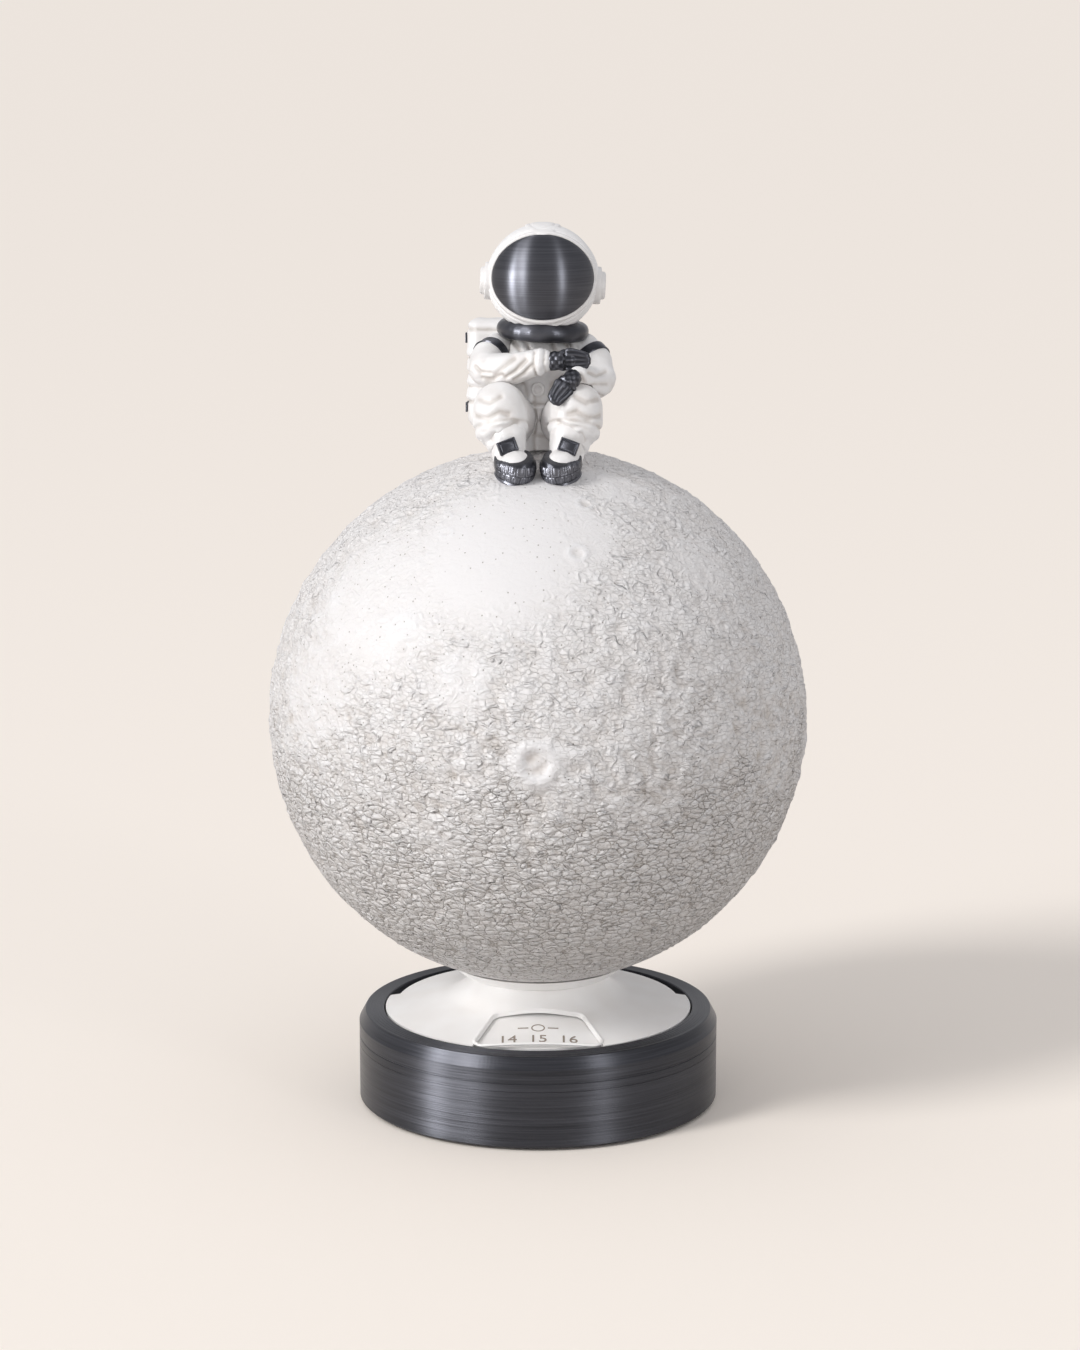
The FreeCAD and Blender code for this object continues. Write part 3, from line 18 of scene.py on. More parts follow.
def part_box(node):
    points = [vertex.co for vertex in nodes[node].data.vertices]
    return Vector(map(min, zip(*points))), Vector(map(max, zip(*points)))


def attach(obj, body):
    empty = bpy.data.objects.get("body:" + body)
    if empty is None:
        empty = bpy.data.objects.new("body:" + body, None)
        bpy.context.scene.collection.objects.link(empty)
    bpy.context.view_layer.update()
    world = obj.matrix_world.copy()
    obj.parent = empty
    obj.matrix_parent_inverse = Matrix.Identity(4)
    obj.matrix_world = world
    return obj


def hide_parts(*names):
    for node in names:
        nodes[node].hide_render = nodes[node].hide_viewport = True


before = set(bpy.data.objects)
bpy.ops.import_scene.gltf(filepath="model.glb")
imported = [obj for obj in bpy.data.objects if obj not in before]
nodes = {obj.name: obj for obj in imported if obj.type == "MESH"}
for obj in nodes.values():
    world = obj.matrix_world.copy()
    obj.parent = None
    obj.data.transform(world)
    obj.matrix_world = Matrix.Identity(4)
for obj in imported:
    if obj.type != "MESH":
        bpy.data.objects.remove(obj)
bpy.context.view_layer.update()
MM = 0.001

# %% [markdown]
# ## Camera
# The picture was taken from a little above, from far enough away that the moon hardly widens
# towards the viewer. The focal length follows from the picture's size, because the moon's
# width in it and its real width are known.

# %% Camera
PICTURE_HEIGHT = 1350
FOCAL_PIXELS = 3500
SENSOR = 36.0
MOON_CENTRE = Vector((0, 0, 110.6)) * MM
CAMERA_DISTANCE = 0.978
CAMERA_ELEVATION = math.radians(12)
MOON_BELOW_MIDDLE = 39.5
MOON_LEFT_OF_MIDDLE = 2.0

lens = bpy.data.cameras.new("camera")
lens.lens = FOCAL_PIXELS / PICTURE_HEIGHT * SENSOR
lens.sensor_width = SENSOR
camera = bpy.data.objects.new("camera", lens)
bpy.context.scene.collection.objects.link(camera)
away = Vector((0, -math.cos(CAMERA_ELEVATION), math.sin(CAMERA_ELEVATION)))
camera.location = MOON_CENTRE + CAMERA_DISTANCE * away
pitch = CAMERA_ELEVATION - math.atan(MOON_BELOW_MIDDLE / FOCAL_PIXELS)
turn = math.atan(MOON_LEFT_OF_MIDDLE / FOCAL_PIXELS)
camera.rotation_euler = Euler((math.pi / 2 - pitch, 0, -turn))
bpy.context.scene.camera = camera
print("lens", round(lens.lens, 1), "mm, camera at", [round(v, 3) for v in camera.location])

# %% [markdown]
# ## Colour and node helpers
# Colours are written as they look, in sRGB hex, and turned to the linear light that the
# shader counts in. One function adds any node with its settings and its links.


# %% Helpers for materials
def paint(code):
    """Linear colour of an sRGB hex code such as #F2EFEA."""
    shares = [int(code[i:i + 2], 16) / 255 for i in (1, 3, 5)]
    linear = [v / 12.92 if v <= 0.04045 else ((v + 0.055) / 1.055) ** 2.4 for v in shares]
    return (*linear, 1.0)


def add(material, kind, settings=None, inputs=None):
    """Adds a node. An input is a value or another node's output, by name or by number."""
    tree = material.node_tree
    made = tree.nodes.new("ShaderNode" + kind)
    for name, value in (settings or {}).items():
        setattr(made, name, value)
    for name, value in (inputs or {}).items():
        if isinstance(value, bpy.types.NodeSocket):
            tree.links.new(value, made.inputs[name])
        else:
            made.inputs[name].default_value = value
    return made


def finish_of(name, colour, roughness, **settings):
    """A new material with a Principled shader, and that shader."""
    material = bpy.data.materials.new(name)
    material.use_nodes = True
    shader = material.node_tree.nodes["Principled BSDF"]
    shader.inputs["Base Color"].default_value = paint(colour)
    shader.inputs["Roughness"].default_value = roughness
    for key, value in settings.items():
        shader.inputs[key.replace("_", " ")].default_value = value
    return material, shader


def feed(material, shader, **sources):
    """Links outputs to the shader's inputs."""
    for key, output in sources.items():
        material.node_tree.links.new(output, shader.inputs[key.replace("_", " ")])
    return material


def place_mm(material, stretch=(1, 1, 1)):
    """Object coordinates in millimetres, stretched for a pattern."""
    coordinates = add(material, "TexCoord")
    scale = [factor / MM for factor in stretch]
    mapped = add(material, "Mapping", inputs={
        "Vector": coordinates.outputs["Object"], "Scale": scale})
    return mapped.outputs["Vector"]


def mottle(material, size, detail, **more):
    """Noise of a real size in mm, which may be another one for each direction."""
    sizes = size if isinstance(size, tuple) else (size,) * 3
    return add(material, "TexNoise", inputs={
        "Vector": place_mm(material, [1 / length for length in sizes]), "Scale": 1.0,
        "Detail": detail, **more}).outputs["Fac"]


def ramp(material, value, stops, ease=False):
    """Turns a number into a colour or a shade by the stops (position, hex)."""
    made = add(material, "ValToRGB", inputs={"Fac": value})
    table = made.color_ramp
    table.interpolation = "EASE" if ease else "LINEAR"
    while len(table.elements) < len(stops):
        table.elements.new(0.5)
    for element, (position, code) in zip(table.elements, stops):
        element.position = position
        element.color = paint(code)
    return made.outputs["Color"]


def bump(material, height, millimetres, strength=1.0, onto=None):
    """A bump whose full height is a real depth in millimetres."""
    inputs = {"Height": height, "Strength": strength, "Distance": millimetres * MM}
    if onto is not None:
        inputs["Normal"] = onto
    return add(material, "Bump", inputs=inputs).outputs["Normal"]


def object_of(mesh, name):
    """Turns a bmesh into an object of the scene."""
    data = bpy.data.meshes.new(name)
    mesh.to_mesh(data)
    mesh.free()
    made = bpy.data.objects.new(name, data)
    bpy.context.scene.collection.objects.link(made)
    return made


# %% [markdown]
# ## White printed plastic
# The plate, the dial and the collar are matte white filament. Its layers are too fine to
# count, so it shows a faint grain and a soft, wide highlight.


# %% White printed plastic
GRAIN_MM = 0.5
CLOUD_MM = 14


def white_plastic():
    """Satin white print with a hardly visible cloud of tone, so that large faces aren't dead."""
    material, shader = finish_of("white_printed_pla", "#F4F3F2", 0.42, IOR=1.46)
    tone = ramp(material, mottle(material, CLOUD_MM, 2.0), [(0.35, "#F3F1EF"), (0.65, "#F8F7F6")])
    grain = bump(material, mottle(material, GRAIN_MM, 3.0), 0.03)
    return feed(material, shader, Base_Color=tone, Normal=grain)


white = white_plastic()
print("made", white.name)

# %% [markdown]
# ## Dark silk filament
# The base is printed in a dark silk filament. Each layer is a thread that runs round the
# base, so the wall glints in fine level streaks and the highlights stand upright. The streaks
# are noise that is stretched along the wall: fine in height and long in the other directions.


# %% Dark silk filament
LAYER_MM = 0.42
STREAK_MM = 30.0
BAND_MM = 2.6


def silk_filament(name="silk_filament", dark="#323338", light="#47484E"):
    """Dark print with a silk sheen, which spreads every highlight up and down."""
    material, shader = finish_of(name, dark, 0.36, Metallic=0.75, Anisotropic=0.8,
                                 Anisotropic_Rotation=0.25)
    around = add(material, "Tangent", {"direction_type": "RADIAL", "axis": "Z"})
    layers = mottle(material, (STREAK_MM, STREAK_MM, LAYER_MM), 3.0, Roughness=0.6)
    bands = mottle(material, (2 * STREAK_MM, 2 * STREAK_MM, BAND_MM), 2.0)
    mixed = add(material, "Math", {"operation": "MULTIPLY_ADD"}, {0: bands, 1: 0.6, 2: layers})
    shine = add(material, "MapRange", inputs={
        "Value": layers, "From Min": 0.3, "From Max": 0.7, "To Min": 0.33, "To Max": 0.44})
    return feed(material, shader, Tangent=around.outputs["Tangent"],
                Base_Color=ramp(material, mixed.outputs[0], [(0.55, dark), (1.05, light)]),
                Roughness=shine.outputs["Result"], Normal=bump(material, layers, 0.05))


silk = silk_filament()
print("made", silk.name)

# %% [markdown]
# ## Floor and light
# A plain pale floor, a soft key light from the upper left and an even sky. The floor looks
# the same pale colour to the camera and to anything shiny, so the far edge never shows. Tall
# panels at both sides lighten the flanks, and three sheen panels draw the upright highlights.

# %% Floor
FLOOR_RADIUS = 60.0
FLOOR_SEEN = "#FFF7EE"
FLOOR_BOUNCE = "#BDB7B1"
HORIZON = "#E4DAD0"


def floor_finish():
    """Pale matte paint. The light that it throws back up is that of a darker floor."""
    material, shader = finish_of("pale_floor", FLOOR_BOUNCE, 0.9)
    seen = add(material, "BsdfDiffuse", inputs={"Color": paint(FLOOR_SEEN)})
    path = add(material, "LightPath")
    direct = add(material, "Math", {"operation": "MAXIMUM"}, {
        0: path.outputs["Is Camera Ray"], 1: path.outputs["Is Glossy Ray"]})
    mix = add(material, "MixShader", inputs={
        "Fac": direct.outputs[0], 1: shader.outputs["BSDF"], 2: seen.outputs["BSDF"]})
    output = material.node_tree.nodes["Material Output"]
    return feed(material, output, Surface=mix.outputs["Shader"])


def round_floor():
    mesh = bmesh.new()
    bmesh.ops.create_circle(mesh, cap_ends=True, segments=96, radius=FLOOR_RADIUS)
    floor = object_of(mesh, "floor")
    floor.data.materials.append(floor_finish())


round_floor()


# %% World and lamps
SKY_STRENGTH = 0.60
SUN_SOFTNESS = math.radians(16)


def world_sky():
    """An even sky. The camera sees the colour of the floor's far edge in its place."""
    world = bpy.data.worlds.new("even_sky")
    bpy.context.scene.world = world
    world.use_nodes = True
    sky = world.node_tree.nodes["Background"]
    sky.inputs["Color"].default_value = paint("#FCFCFF")
    sky.inputs["Strength"].default_value = SKY_STRENGTH
    seen = add(world, "Background", inputs={"Color": paint(HORIZON)})
    mix = add(world, "MixShader", inputs={
        "Fac": add(world, "LightPath").outputs["Is Camera Ray"],
        1: sky.outputs["Background"], 2: seen.outputs["Background"]})
    feed(world, world.node_tree.nodes["World Output"], Surface=mix.outputs["Shader"])


def lamp(name, kind, location, strength, size, tall=None, colour="#FFFFFF", sheen_only=False):
    """A lamp that points at the middle of the moon. A panel has a width and may be taller. A
    sheen lamp shows in shiny surfaces and leaves the matte ones alone."""
    data = bpy.data.lights.new(name, kind)
    data.energy = strength
    data.color = paint(colour)[:3]
    if kind == "SUN":
        data.angle = size
    else:
        data.shape = "RECTANGLE"
        data.size = size
        data.size_y = tall or size
    made = bpy.data.objects.new(name, data)
    bpy.context.scene.collection.objects.link(made)
    made.visible_diffuse = not sheen_only
    made.location = location
    made.rotation_euler = (MOON_CENTRE - Vector(location)).to_track_quat("-Z", "Y").to_euler()


world_sky()
lamp("key", "SUN", (-1.30, -0.90, 1.33), 1.33, SUN_SOFTNESS, colour="#FFFDFB")
lamp("left_strip", "AREA", (-1.60, -1.15, 0.45), 8.5, 0.36, 1.1)
lamp("right_strip", "AREA", (1.25, -1.40, 0.45), 4.2, 0.32, 1.1)
lamp("left_sheen", "AREA", (-1.27, -1.41, 0.50), 26.0, 0.35, 1.2, sheen_only=True)
lamp("side_sheen", "AREA", (-1.74, -0.77, 0.25), 60.0, 0.30, 0.9, sheen_only=True)
lamp("right_sheen", "AREA", (1.22, -1.46, 0.50), 14.0, 0.26, 1.2, sheen_only=True)
bpy.context.scene.view_settings.view_transform = "Standard"

# %% [markdown]
# ## New pieces
# Each new piece is a bmesh that becomes an object at the origin, with its place in its mesh,
# as the CAD parts have. It joins its body, and the CAD part that it stands for is hidden.


# %% Helper for new pieces
def piece(name, mesh, material, body, slot, *stands_for, flat=False):
    """Makes an object of a bmesh and puts it in the CAD part's place."""
    made = object_of(mesh, name)
    data = made.data
    data.materials.append(material)
    if not flat:
        data.shade_smooth()
    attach(made, body)
    if stands_for:
        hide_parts(*stands_for)
    triangles = sum(len(face.vertices) - 2 for face in data.polygons)
    print(f"{name}: {triangles} triangles on {body}")
    return made


def lathe(points, steps, closed=True):
    """Spins an outline of (radius, height) points in mm round the lamp's axis."""
    mesh = bmesh.new()
    corners = [mesh.verts.new((radius * MM, 0, height * MM)) for radius, height in points]
    edges = [mesh.edges.new(pair) for pair in zip(corners, corners[1:])]
    if closed:
        edges.append(mesh.edges.new((corners[-1], corners[0])))
    bmesh.ops.spin(mesh, geom=corners + edges, cent=(0, 0, 0), axis=(0, 0, 1),
                   angle=2 * math.pi, steps=steps, use_merge=True)
    bmesh.ops.remove_doubles(mesh, verts=mesh.verts, dist=0.002 * MM)
    bmesh.ops.recalc_face_normals(mesh, faces=mesh.faces)
    return mesh


def joined(meshes):
    """One bmesh of several."""
    together = bmesh.new()
    for mesh in meshes:
        data = bpy.data.meshes.new("one_of_several")
        mesh.to_mesh(data)
        mesh.free()
        together.from_mesh(data)
        bpy.data.meshes.remove(data)
    return together


def round_edges(mesh, width, sharpest, segments):
    """Bevels every edge that turns by more than the given angle."""
    limit = math.radians(sharpest)
    sharp = [edge for edge in mesh.edges if edge.is_manifold and edge.calc_face_angle(0) > limit]
    bmesh.ops.bevel(mesh, geom=sharp, offset=width * MM, affect="EDGES", segments=segments,
                    profile=0.5, material=-1, offset_type="OFFSET", clamp_overlap=True)
    return mesh


def cut_away(mesh, point, way):
    """Takes off what lies past a plane, along way, and returns the edges of the cut."""
    cut = bmesh.ops.bisect_plane(mesh, geom=mesh.verts[:] + mesh.edges[:] + mesh.faces[:],
                                 plane_co=point, plane_no=way, clear_outer=True)
    return [item for item in cut["geom_cut"] if isinstance(item, bmesh.types.BMEdge)]


# %% [markdown]
# ## The moon
# The moon is a hollow print with a raised surface. Its mesh is a cube that is divided and
# blown up to a ball, because its faces are all of one size and it has no pole. Each point is
# then moved in or out by the height of the land there: lowland plains, a rough belt, craters
# with rims, and ridges. Longitude 0 faces the front and latitude is up.

# %% Sizes of the moon
MOON_R = 74.6
HIGHEST = 0.85
DEEPEST = -1.1
MOUTH_Z = 39.9
BORE_R = 21.5
WALL = 2.2
CUTS = 121
SMOOTH_BAND_Z = 44.5
BAND_FADE = 3.0


def direction(longitude, latitude):
    """Unit vector from the moon's centre."""
    lon, lat = math.radians(longitude), math.radians(latitude)
    return Vector((math.cos(lat) * math.sin(lon), -math.cos(lat) * math.cos(lon), math.sin(lat)))


def distance(unit, longitude, latitude):
    """How far each point is from a place on the moon, along the surface, in mm."""
    middle = np.array(direction(longitude, latitude))
    return MOON_R * np.arccos(np.clip(unit @ middle, -1, 1))


def step(values, low, high):
    """0 below low, 1 above high, and a smooth step between."""
    share = np.clip((values - low) / (high - low), 0, 1)
    return share * share * (3 - 2 * share)


# %% The land: plains, craters and knolls
# Each plain is a place, a radius in mm and how flat it is.
PLAINS = [(-12, 47, 25, 1.0), (-2, 62, 14, 0.9), (12, 52, 12, 0.8), (-17, 18, 9, 0.55),
          (-42, 34, 24, 0.72), (-55, 12, 16, 0.5), (-0.4, 2.0, 7, 0.62),
          (38, 66, 9, 0.6), (50, 40, 10, 0.4), (140, 30, 30, 0.8), (-120, -10, 22, 0.7),
          (-150, 45, 14, 0.6)]
# Each crater is a place, a rim radius in mm, its depth and its rim's height as shares of it.
CRATERS = [(11.7, 46.4, 2.3, 0.16, 0.22), (20.1, 60.4, 2.2, 0.14, 0.22),
           (-30.9, 50.7, 1.6, 0.08, 0.16), (-0.4, 2.0, 4.7, 0.16, 0.32),
           (-1.6, 3.8, 2.9, 0.08, 0.16), (7.9, 0.5, 3.8, 0.07, 0.12),
           (50.7, 13.1, 2.2, 0.12, 0.20), (-31.9, -16.8, 1.1, 0.12, 0.22),
           (-29.4, 9.8, 1.8, 0.10, 0.16), (-30.1, -29.6, 2.2, 0.09, 0.16),
           (-32.1, -32.5, 2.0, 0.10, 0.14), (35.8, -41.5, 1.6, 0.12, 0.18),
           (5.5, -36.1, 1.6, 0.12, 0.18), (120, 20, 7.0, 0.08, 0.12),
           (-140, -20, 6.0, 0.08, 0.12), (175, -5, 9.0, 0.06, 0.09), (150, 55, 4.0, 0.10, 0.16)]
# Each knoll is a place, a radius in mm and a height in mm.
KNOLLS = [(-32.9, 28.2, 3.6, 0.55), (-31, 30, 1.8, 0.35), (-35, 26, 1.7, 0.35),
          (-58.6, 30.9, 1.9, 0.55), (-51.0, -19.9, 2.0, 0.60), (-5.2, -16.1, 1.8, 0.55),
          (-18.2, 20.1, 2.6, 0.30), (-12.8, 21.0, 2.4, 0.30), (36.2, 29.4, 3.4, 0.35),
          (17.5, 1.4, 2.6, 0.35), (33.2, 31.2, 3.6, 0.30), (24.5, 31.3, 3.6, 0.30)]
SMALL_CRATERS = 420
BELT_UP = 2.0
RANDOM_SEED = 7
# Without this seed, noise vectors come from the clock and the relief changes in every run.
noise.seed_set(RANDOM_SEED)


def scattered_craters(count, seed):
    """Small craters at even random places, most of them the smallest."""
    dice = random.Random(seed)
    found = []
    for _ in range(count):
        latitude = math.degrees(math.asin(dice.uniform(-0.9, 1)))
        radius = 0.7 + 1.5 * dice.random() ** 3
        found.append((dice.uniform(-180, 180), latitude, radius, 0.14, 0.14))
    return found


def plain_shares(unit):
    """How flat the land is at each point, from 0, rough, to 1, smooth."""
    flat = np.zeros(len(unit))
    for longitude, latitude, radius, share in PLAINS:
        away = distance(unit, longitude, latitude) / radius
        flat = np.maximum(flat, share * (1 - step(away, 0.55, 1.3)))
    return flat


def crater_heights(unit, flat):
    """Sum of the bowls and rims of all craters, in mm."""
    heights = np.zeros(len(unit))
    listed = [(crater, 1.0) for crater in CRATERS]
    listed += [(crater, 0.0) for crater in scattered_craters(SMALL_CRATERS, RANDOM_SEED)]
    for (longitude, latitude, radius, depth, rim), always in listed:
        away = distance(unit, longitude, latitude) / radius
        near = np.nonzero(away < 2.2)[0]
        share = away[near]
        bowl = -depth * radius * np.clip(1 - share ** 2, 0, 1)
        wall = rim * radius * np.exp(-((share - 1.0) / 0.26) ** 2)
        keep = np.maximum(always, 1 - 0.9 * flat[near])
        heights[near] += (bowl + wall) * keep
    return heights


def knoll_heights(unit):
    heights = np.zeros(len(unit))
    for longitude, latitude, radius, height in KNOLLS:
        away = distance(unit, longitude, latitude) / radius
        heights += height * np.exp(-away ** 2)
    return heights


def rough_heights(unit, flat):
    """Lumps and wavy ridges of the rough land, in mm."""
    heights = np.empty(len(unit))
    for i, (x, y, z) in enumerate(unit):
        spot = Vector((x, y, z)) * MOON_R
        warp = noise.noise_vector(spot / 9.0) * 2.2
        lumps = noise.fractal((spot + warp) / 4.2, 0.9, 2.1, 3)
        ridges = 1 - abs(noise.noise((spot + 2 * warp) / 3.4)) * 2
        hills = noise.noise(spot / 16.0)
        crumbs = 1 - abs(noise.noise((spot + warp) / 1.9)) * 2.4
        # Each form has its depth in mm, and the last number brings their mean to about 0.
        heights[i] = 0.70 * lumps + 0.36 * ridges + 0.20 * hills + 0.34 * crumbs - 0.40
    belt = 0.5 + 0.5 * np.exp(-((unit[:, 2] * MOON_R - BELT_UP) / 24) ** 2)
    return heights * belt * (1 - 0.93 * flat)


# %% [markdown]
# ### Moon mesh
# The ball is cut off flat at the mouth, where the lowest band stays smooth for the collar.
# The edge left by the cut is drawn inwards to the bore and up along the inner wall, so the
# moon is a closed shell with a real thickness.


# %% Moon mesh
def blown_cube(cuts):
    """A cube divided into even squares and pushed out to a ball of radius 1."""
    mesh = bmesh.new()
    bmesh.ops.create_cube(mesh, size=2)
    bmesh.ops.subdivide_edges(mesh, edges=mesh.edges, cuts=cuts, use_grid_fill=True)
    for vertex in mesh.verts:
        even = [math.tan(v * math.pi / 4) for v in vertex.co]
        vertex.co = Vector(even).normalized()
    return mesh


def land_heights(unit):
    flat = plain_shares(unit)
    heights = rough_heights(unit, flat) + crater_heights(unit, flat) + knoll_heights(unit)
    z = unit[:, 2] * MOON_R + MOON_CENTRE.z / MM
    band = step(z, SMOOTH_BAND_Z, SMOOTH_BAND_Z + BAND_FADE)
    return np.clip(heights, DEEPEST, HIGHEST) * band, flat


def moon_mesh():
    mesh = blown_cube(CUTS)
    mesh.verts.ensure_lookup_table()
    unit = np.array([vertex.co for vertex in mesh.verts])
    heights, flat = land_heights(unit)
    depth_layer = mesh.verts.layers.float.new("land_height")
    flat_layer = mesh.verts.layers.float.new("plain_share")
    for vertex, height, share in zip(mesh.verts, heights, flat):
        vertex.co = MOON_CENTRE + vertex.co * (MOON_R + height) * MM
        vertex[depth_layer] = height
        vertex[flat_layer] = share
    edge = cut_away(mesh, (0, 0, MOUTH_Z * MM), (0, 0, -1))
    inner = MOON_R - WALL
    drop = MOUTH_Z - MOON_CENTRE.z / MM
    start = math.degrees(math.atan2(-math.sqrt(inner ** 2 - BORE_R ** 2), BORE_R))
    stops = [(BORE_R, drop)]
    stops += [(inner * math.cos(math.radians(a)), inner * math.sin(math.radians(a)))
              for a in np.linspace(start, 88, 36)]
    for radius, height in stops:
        grown = bmesh.ops.extrude_edge_only(mesh, edges=edge)["geom"]
        edge = [item for item in grown if isinstance(item, bmesh.types.BMEdge)]
        for vertex in {v for item in edge for v in item.verts}:
            around = Vector((vertex.co.x, vertex.co.y, 0)).normalized() * radius * MM
            vertex.co = around + Vector((0, 0, MOON_CENTRE.z + height * MM))
            vertex[depth_layer] = 0.0
    bmesh.ops.contextual_create(mesh, geom=edge)
    bmesh.ops.recalc_face_normals(mesh, faces=mesh.faces)
    return mesh


# %% [markdown]
# ### Moon finish
# The print is white with a fine net of cracks between small plates and with pits. Painted shade,
# a warm grey, darkens the cracks, the pits, the hollows between crumbs and the low places. The
# net is finer than the mesh, so it is a bump: the distance to the edge of random cells, whose
# places are first shifted by noise. The net is strong in the lower half and fades upwards, where
# crumbs of the print take its place.

# %% Moon finish
CELL_MM = 3.3
FINE_CELL_MM = 2.1
CRUMB_MM = 3.0
REGION_MM = 15
PIT_SPACING_MM = 1.9
NET_TOP_Z = 0.122
NET_FULL_Z = 0.088
NET_WANDER = 0.10


def cracks(material, cell, shift, seed, flatten):
    """Distance from the edge of random plates, which are wider than they are tall."""
    base = place_mm(material, (1, 1, flatten))
    wander = add(material, "TexNoise", {"noise_dimensions": "4D"}, {
        "Vector": base, "W": seed, "Scale": 0.8 / cell, "Detail": 3.0, "Roughness": 0.6})
    moved = add(material, "VectorMath", {"operation": "MULTIPLY_ADD"}, {
        0: wander.outputs["Color"], 1: (shift,) * 3, 2: base})
    cells = add(material, "TexVoronoi", {"feature": "DISTANCE_TO_EDGE"}, {
        "Vector": moved.outputs[0], "Scale": 1 / cell})
    return cells.outputs["Distance"]


def times(material, *factors):
    """The product of some numbers."""
    product = factors[0]
    for factor in factors[1:]:
        product = add(material, "Math", {"operation": "MULTIPLY"}, {
            0: product, 1: factor}).outputs[0]
    return product


def moon_print():
    """Matte white print: dull, crumbly and netted where rough, and nearly plain where flat."""
    material, shader = finish_of("moon_printed_pla", "#EFECE8", 0.62, IOR=1.46)
    height = add(material, "Attribute", {"attribute_name": "land_height"}).outputs["Fac"]
    plain = add(material, "Attribute", {"attribute_name": "plain_share"}).outputs["Fac"]
    rough = add(material, "Math", {"operation": "MULTIPLY_ADD", "use_clamp": True}, {
        0: plain, 1: -0.92, 2: 1.0}).outputs[0]
    place = add(material, "SeparateXYZ", inputs={
        "Vector": add(material, "TexCoord").outputs["Object"]})
    # The height at which the net fades wanders from place to place, in metres.
    lifted = add(material, "Math", {"operation": "MULTIPLY_ADD"}, {
        0: mottle(material, REGION_MM, 3.0), 1: -NET_WANDER, 2: place.outputs["Z"]}).outputs[0]
    low_land = add(material, "MapRange", {"interpolation_type": "SMOOTHSTEP"}, {
        "Value": lifted, "From Min": NET_FULL_Z - NET_WANDER / 2,
        "From Max": NET_TOP_Z - NET_WANDER / 2, "To Min": 1.0, "To Max": 0.22}).outputs["Result"]
    netted = times(material, rough, low_land)
    large = cracks(material, CELL_MM, shift=3.2, seed=3.0, flatten=1.9)
    fine = cracks(material, FINE_CELL_MM, shift=2.6, seed=9.0, flatten=1.7)
    net = ramp(material, large, [(0.0, "#000000"), (0.045, "#FFFFFF")])
    fine_net = ramp(material, fine, [(0.0, "#000000"), (0.06, "#FFFFFF")])
    plates = ramp(material, large, [(0.0, "#000000"), (0.35, "#FFFFFF")], ease=True)
    crumbs = add(material, "TexNoise", {
        "noise_type": "RIDGED_MULTIFRACTAL", "normalize": True}, {
        "Vector": place_mm(material, (1 / CRUMB_MM, 1 / CRUMB_MM, 1.3 / CRUMB_MM)),
        "Scale": 1.0, "Detail": 2.5, "Roughness": 0.5, "Distortion": 0.9}).outputs["Fac"]
    grain = mottle(material, 0.9, 4.0, Roughness=0.65)
    pits = add(material, "TexVoronoi", inputs={
        "Vector": place_mm(material), "Scale": 1 / PIT_SPACING_MM})
    pit = ramp(material, pits.outputs["Distance"], [(0.06, "#000000"), (0.13, "#FFFFFF")])

    relief = bump(material, grain, 0.14, 0.7)
    for shape, depth, share in ((crumbs, 1.3, rough), (plates, 0.30, netted),
                                (fine_net, 0.12, rough), (net, 0.20, netted)):
        relief = bump(material, shape, depth, share, relief)
    relief = bump(material, pit, 0.18, 0.8, relief)

    # Painted shade: the low land is greyer and the high land nearly white.
    land = add(material, "MapRange", inputs={
        "Value": height, "From Min": -0.8, "From Max": 0.25}).outputs["Result"]
    colour = ramp(material, land, [(0.0, "#CFC9C4"), (0.45, "#E3E0DF"), (1.0, "#EAE9EA")])
    # Painted shade in the cracks, the pits and the hollows between crumbs.
    for mark, share, code in ((crumbs, times(material, rough, 0.12), "#CFC6BC"),
                              (fine_net, times(material, netted, 0.40), "#B9AEA3"),
                              (net, times(material, netted, 0.72), "#94877A"),
                              (pit, 0.80, "#93897F")):
        hollow = add(material, "Invert", inputs={"Color": mark}).outputs["Color"]
        colour = add(material, "Mix", {"data_type": "RGBA"}, {
            0: times(material, hollow, share), 6: colour, 7: paint(code)}).outputs[2]
    return feed(material, shader, Base_Color=colour, Normal=relief)


piece("moon_shell", moon_mesh(), moon_print(), "moon", "moon_print", "moon_globe", "moon_cap",
      "moon_mouth_ring")

# %% [markdown]
# ## Dark base
# The top ring is a lathe part: a flat crown that the printer built in a few thin steps, a
# chamfer, and a wall. The steps are real here, because they draw the bright contour lines.

# %% Bezel ring
CUP_TOP = 16.7
DECK_TOP = 21.9
RIM_TOP = 26.5
WALL_R = 50.7
WELL_R = 43.7
STEP_RADII = (44.6, 45.3, 46.0, 46.9, 47.6)
STEP_HEIGHT = 0.06
RING_STEPS = 288


def bezel_outline():
    """Outline from the bottom of the wall up, over the stepped crown and down the well."""
    crown = RIM_TOP - STEP_HEIGHT * len(STEP_RADII)
    outline = [(WALL_R, CUP_TOP + 0.1), (WALL_R, 18.9), (WALL_R - 0.12, 19.0),
               (WALL_R - 0.12, 19.15), (WALL_R, 19.25), (WALL_R, 22.9), (WALL_R - 0.15, 23.15),
               (48.95, crown - 0.1), (48.7, crown)]
    height = crown
    for radius in reversed(STEP_RADII):
        outline += [(radius + 0.05, height), (radius, height + STEP_HEIGHT)]
        height += STEP_HEIGHT
    outline += [(WELL_R + 0.25, RIM_TOP), (WELL_R, RIM_TOP - 0.25), (WELL_R, DECK_TOP),
                (46.8, DECK_TOP), (46.8, 13.7), (48.15, 13.7), (48.15, CUP_TOP),
                (WALL_R - 0.25, CUP_TOP)]
    return outline


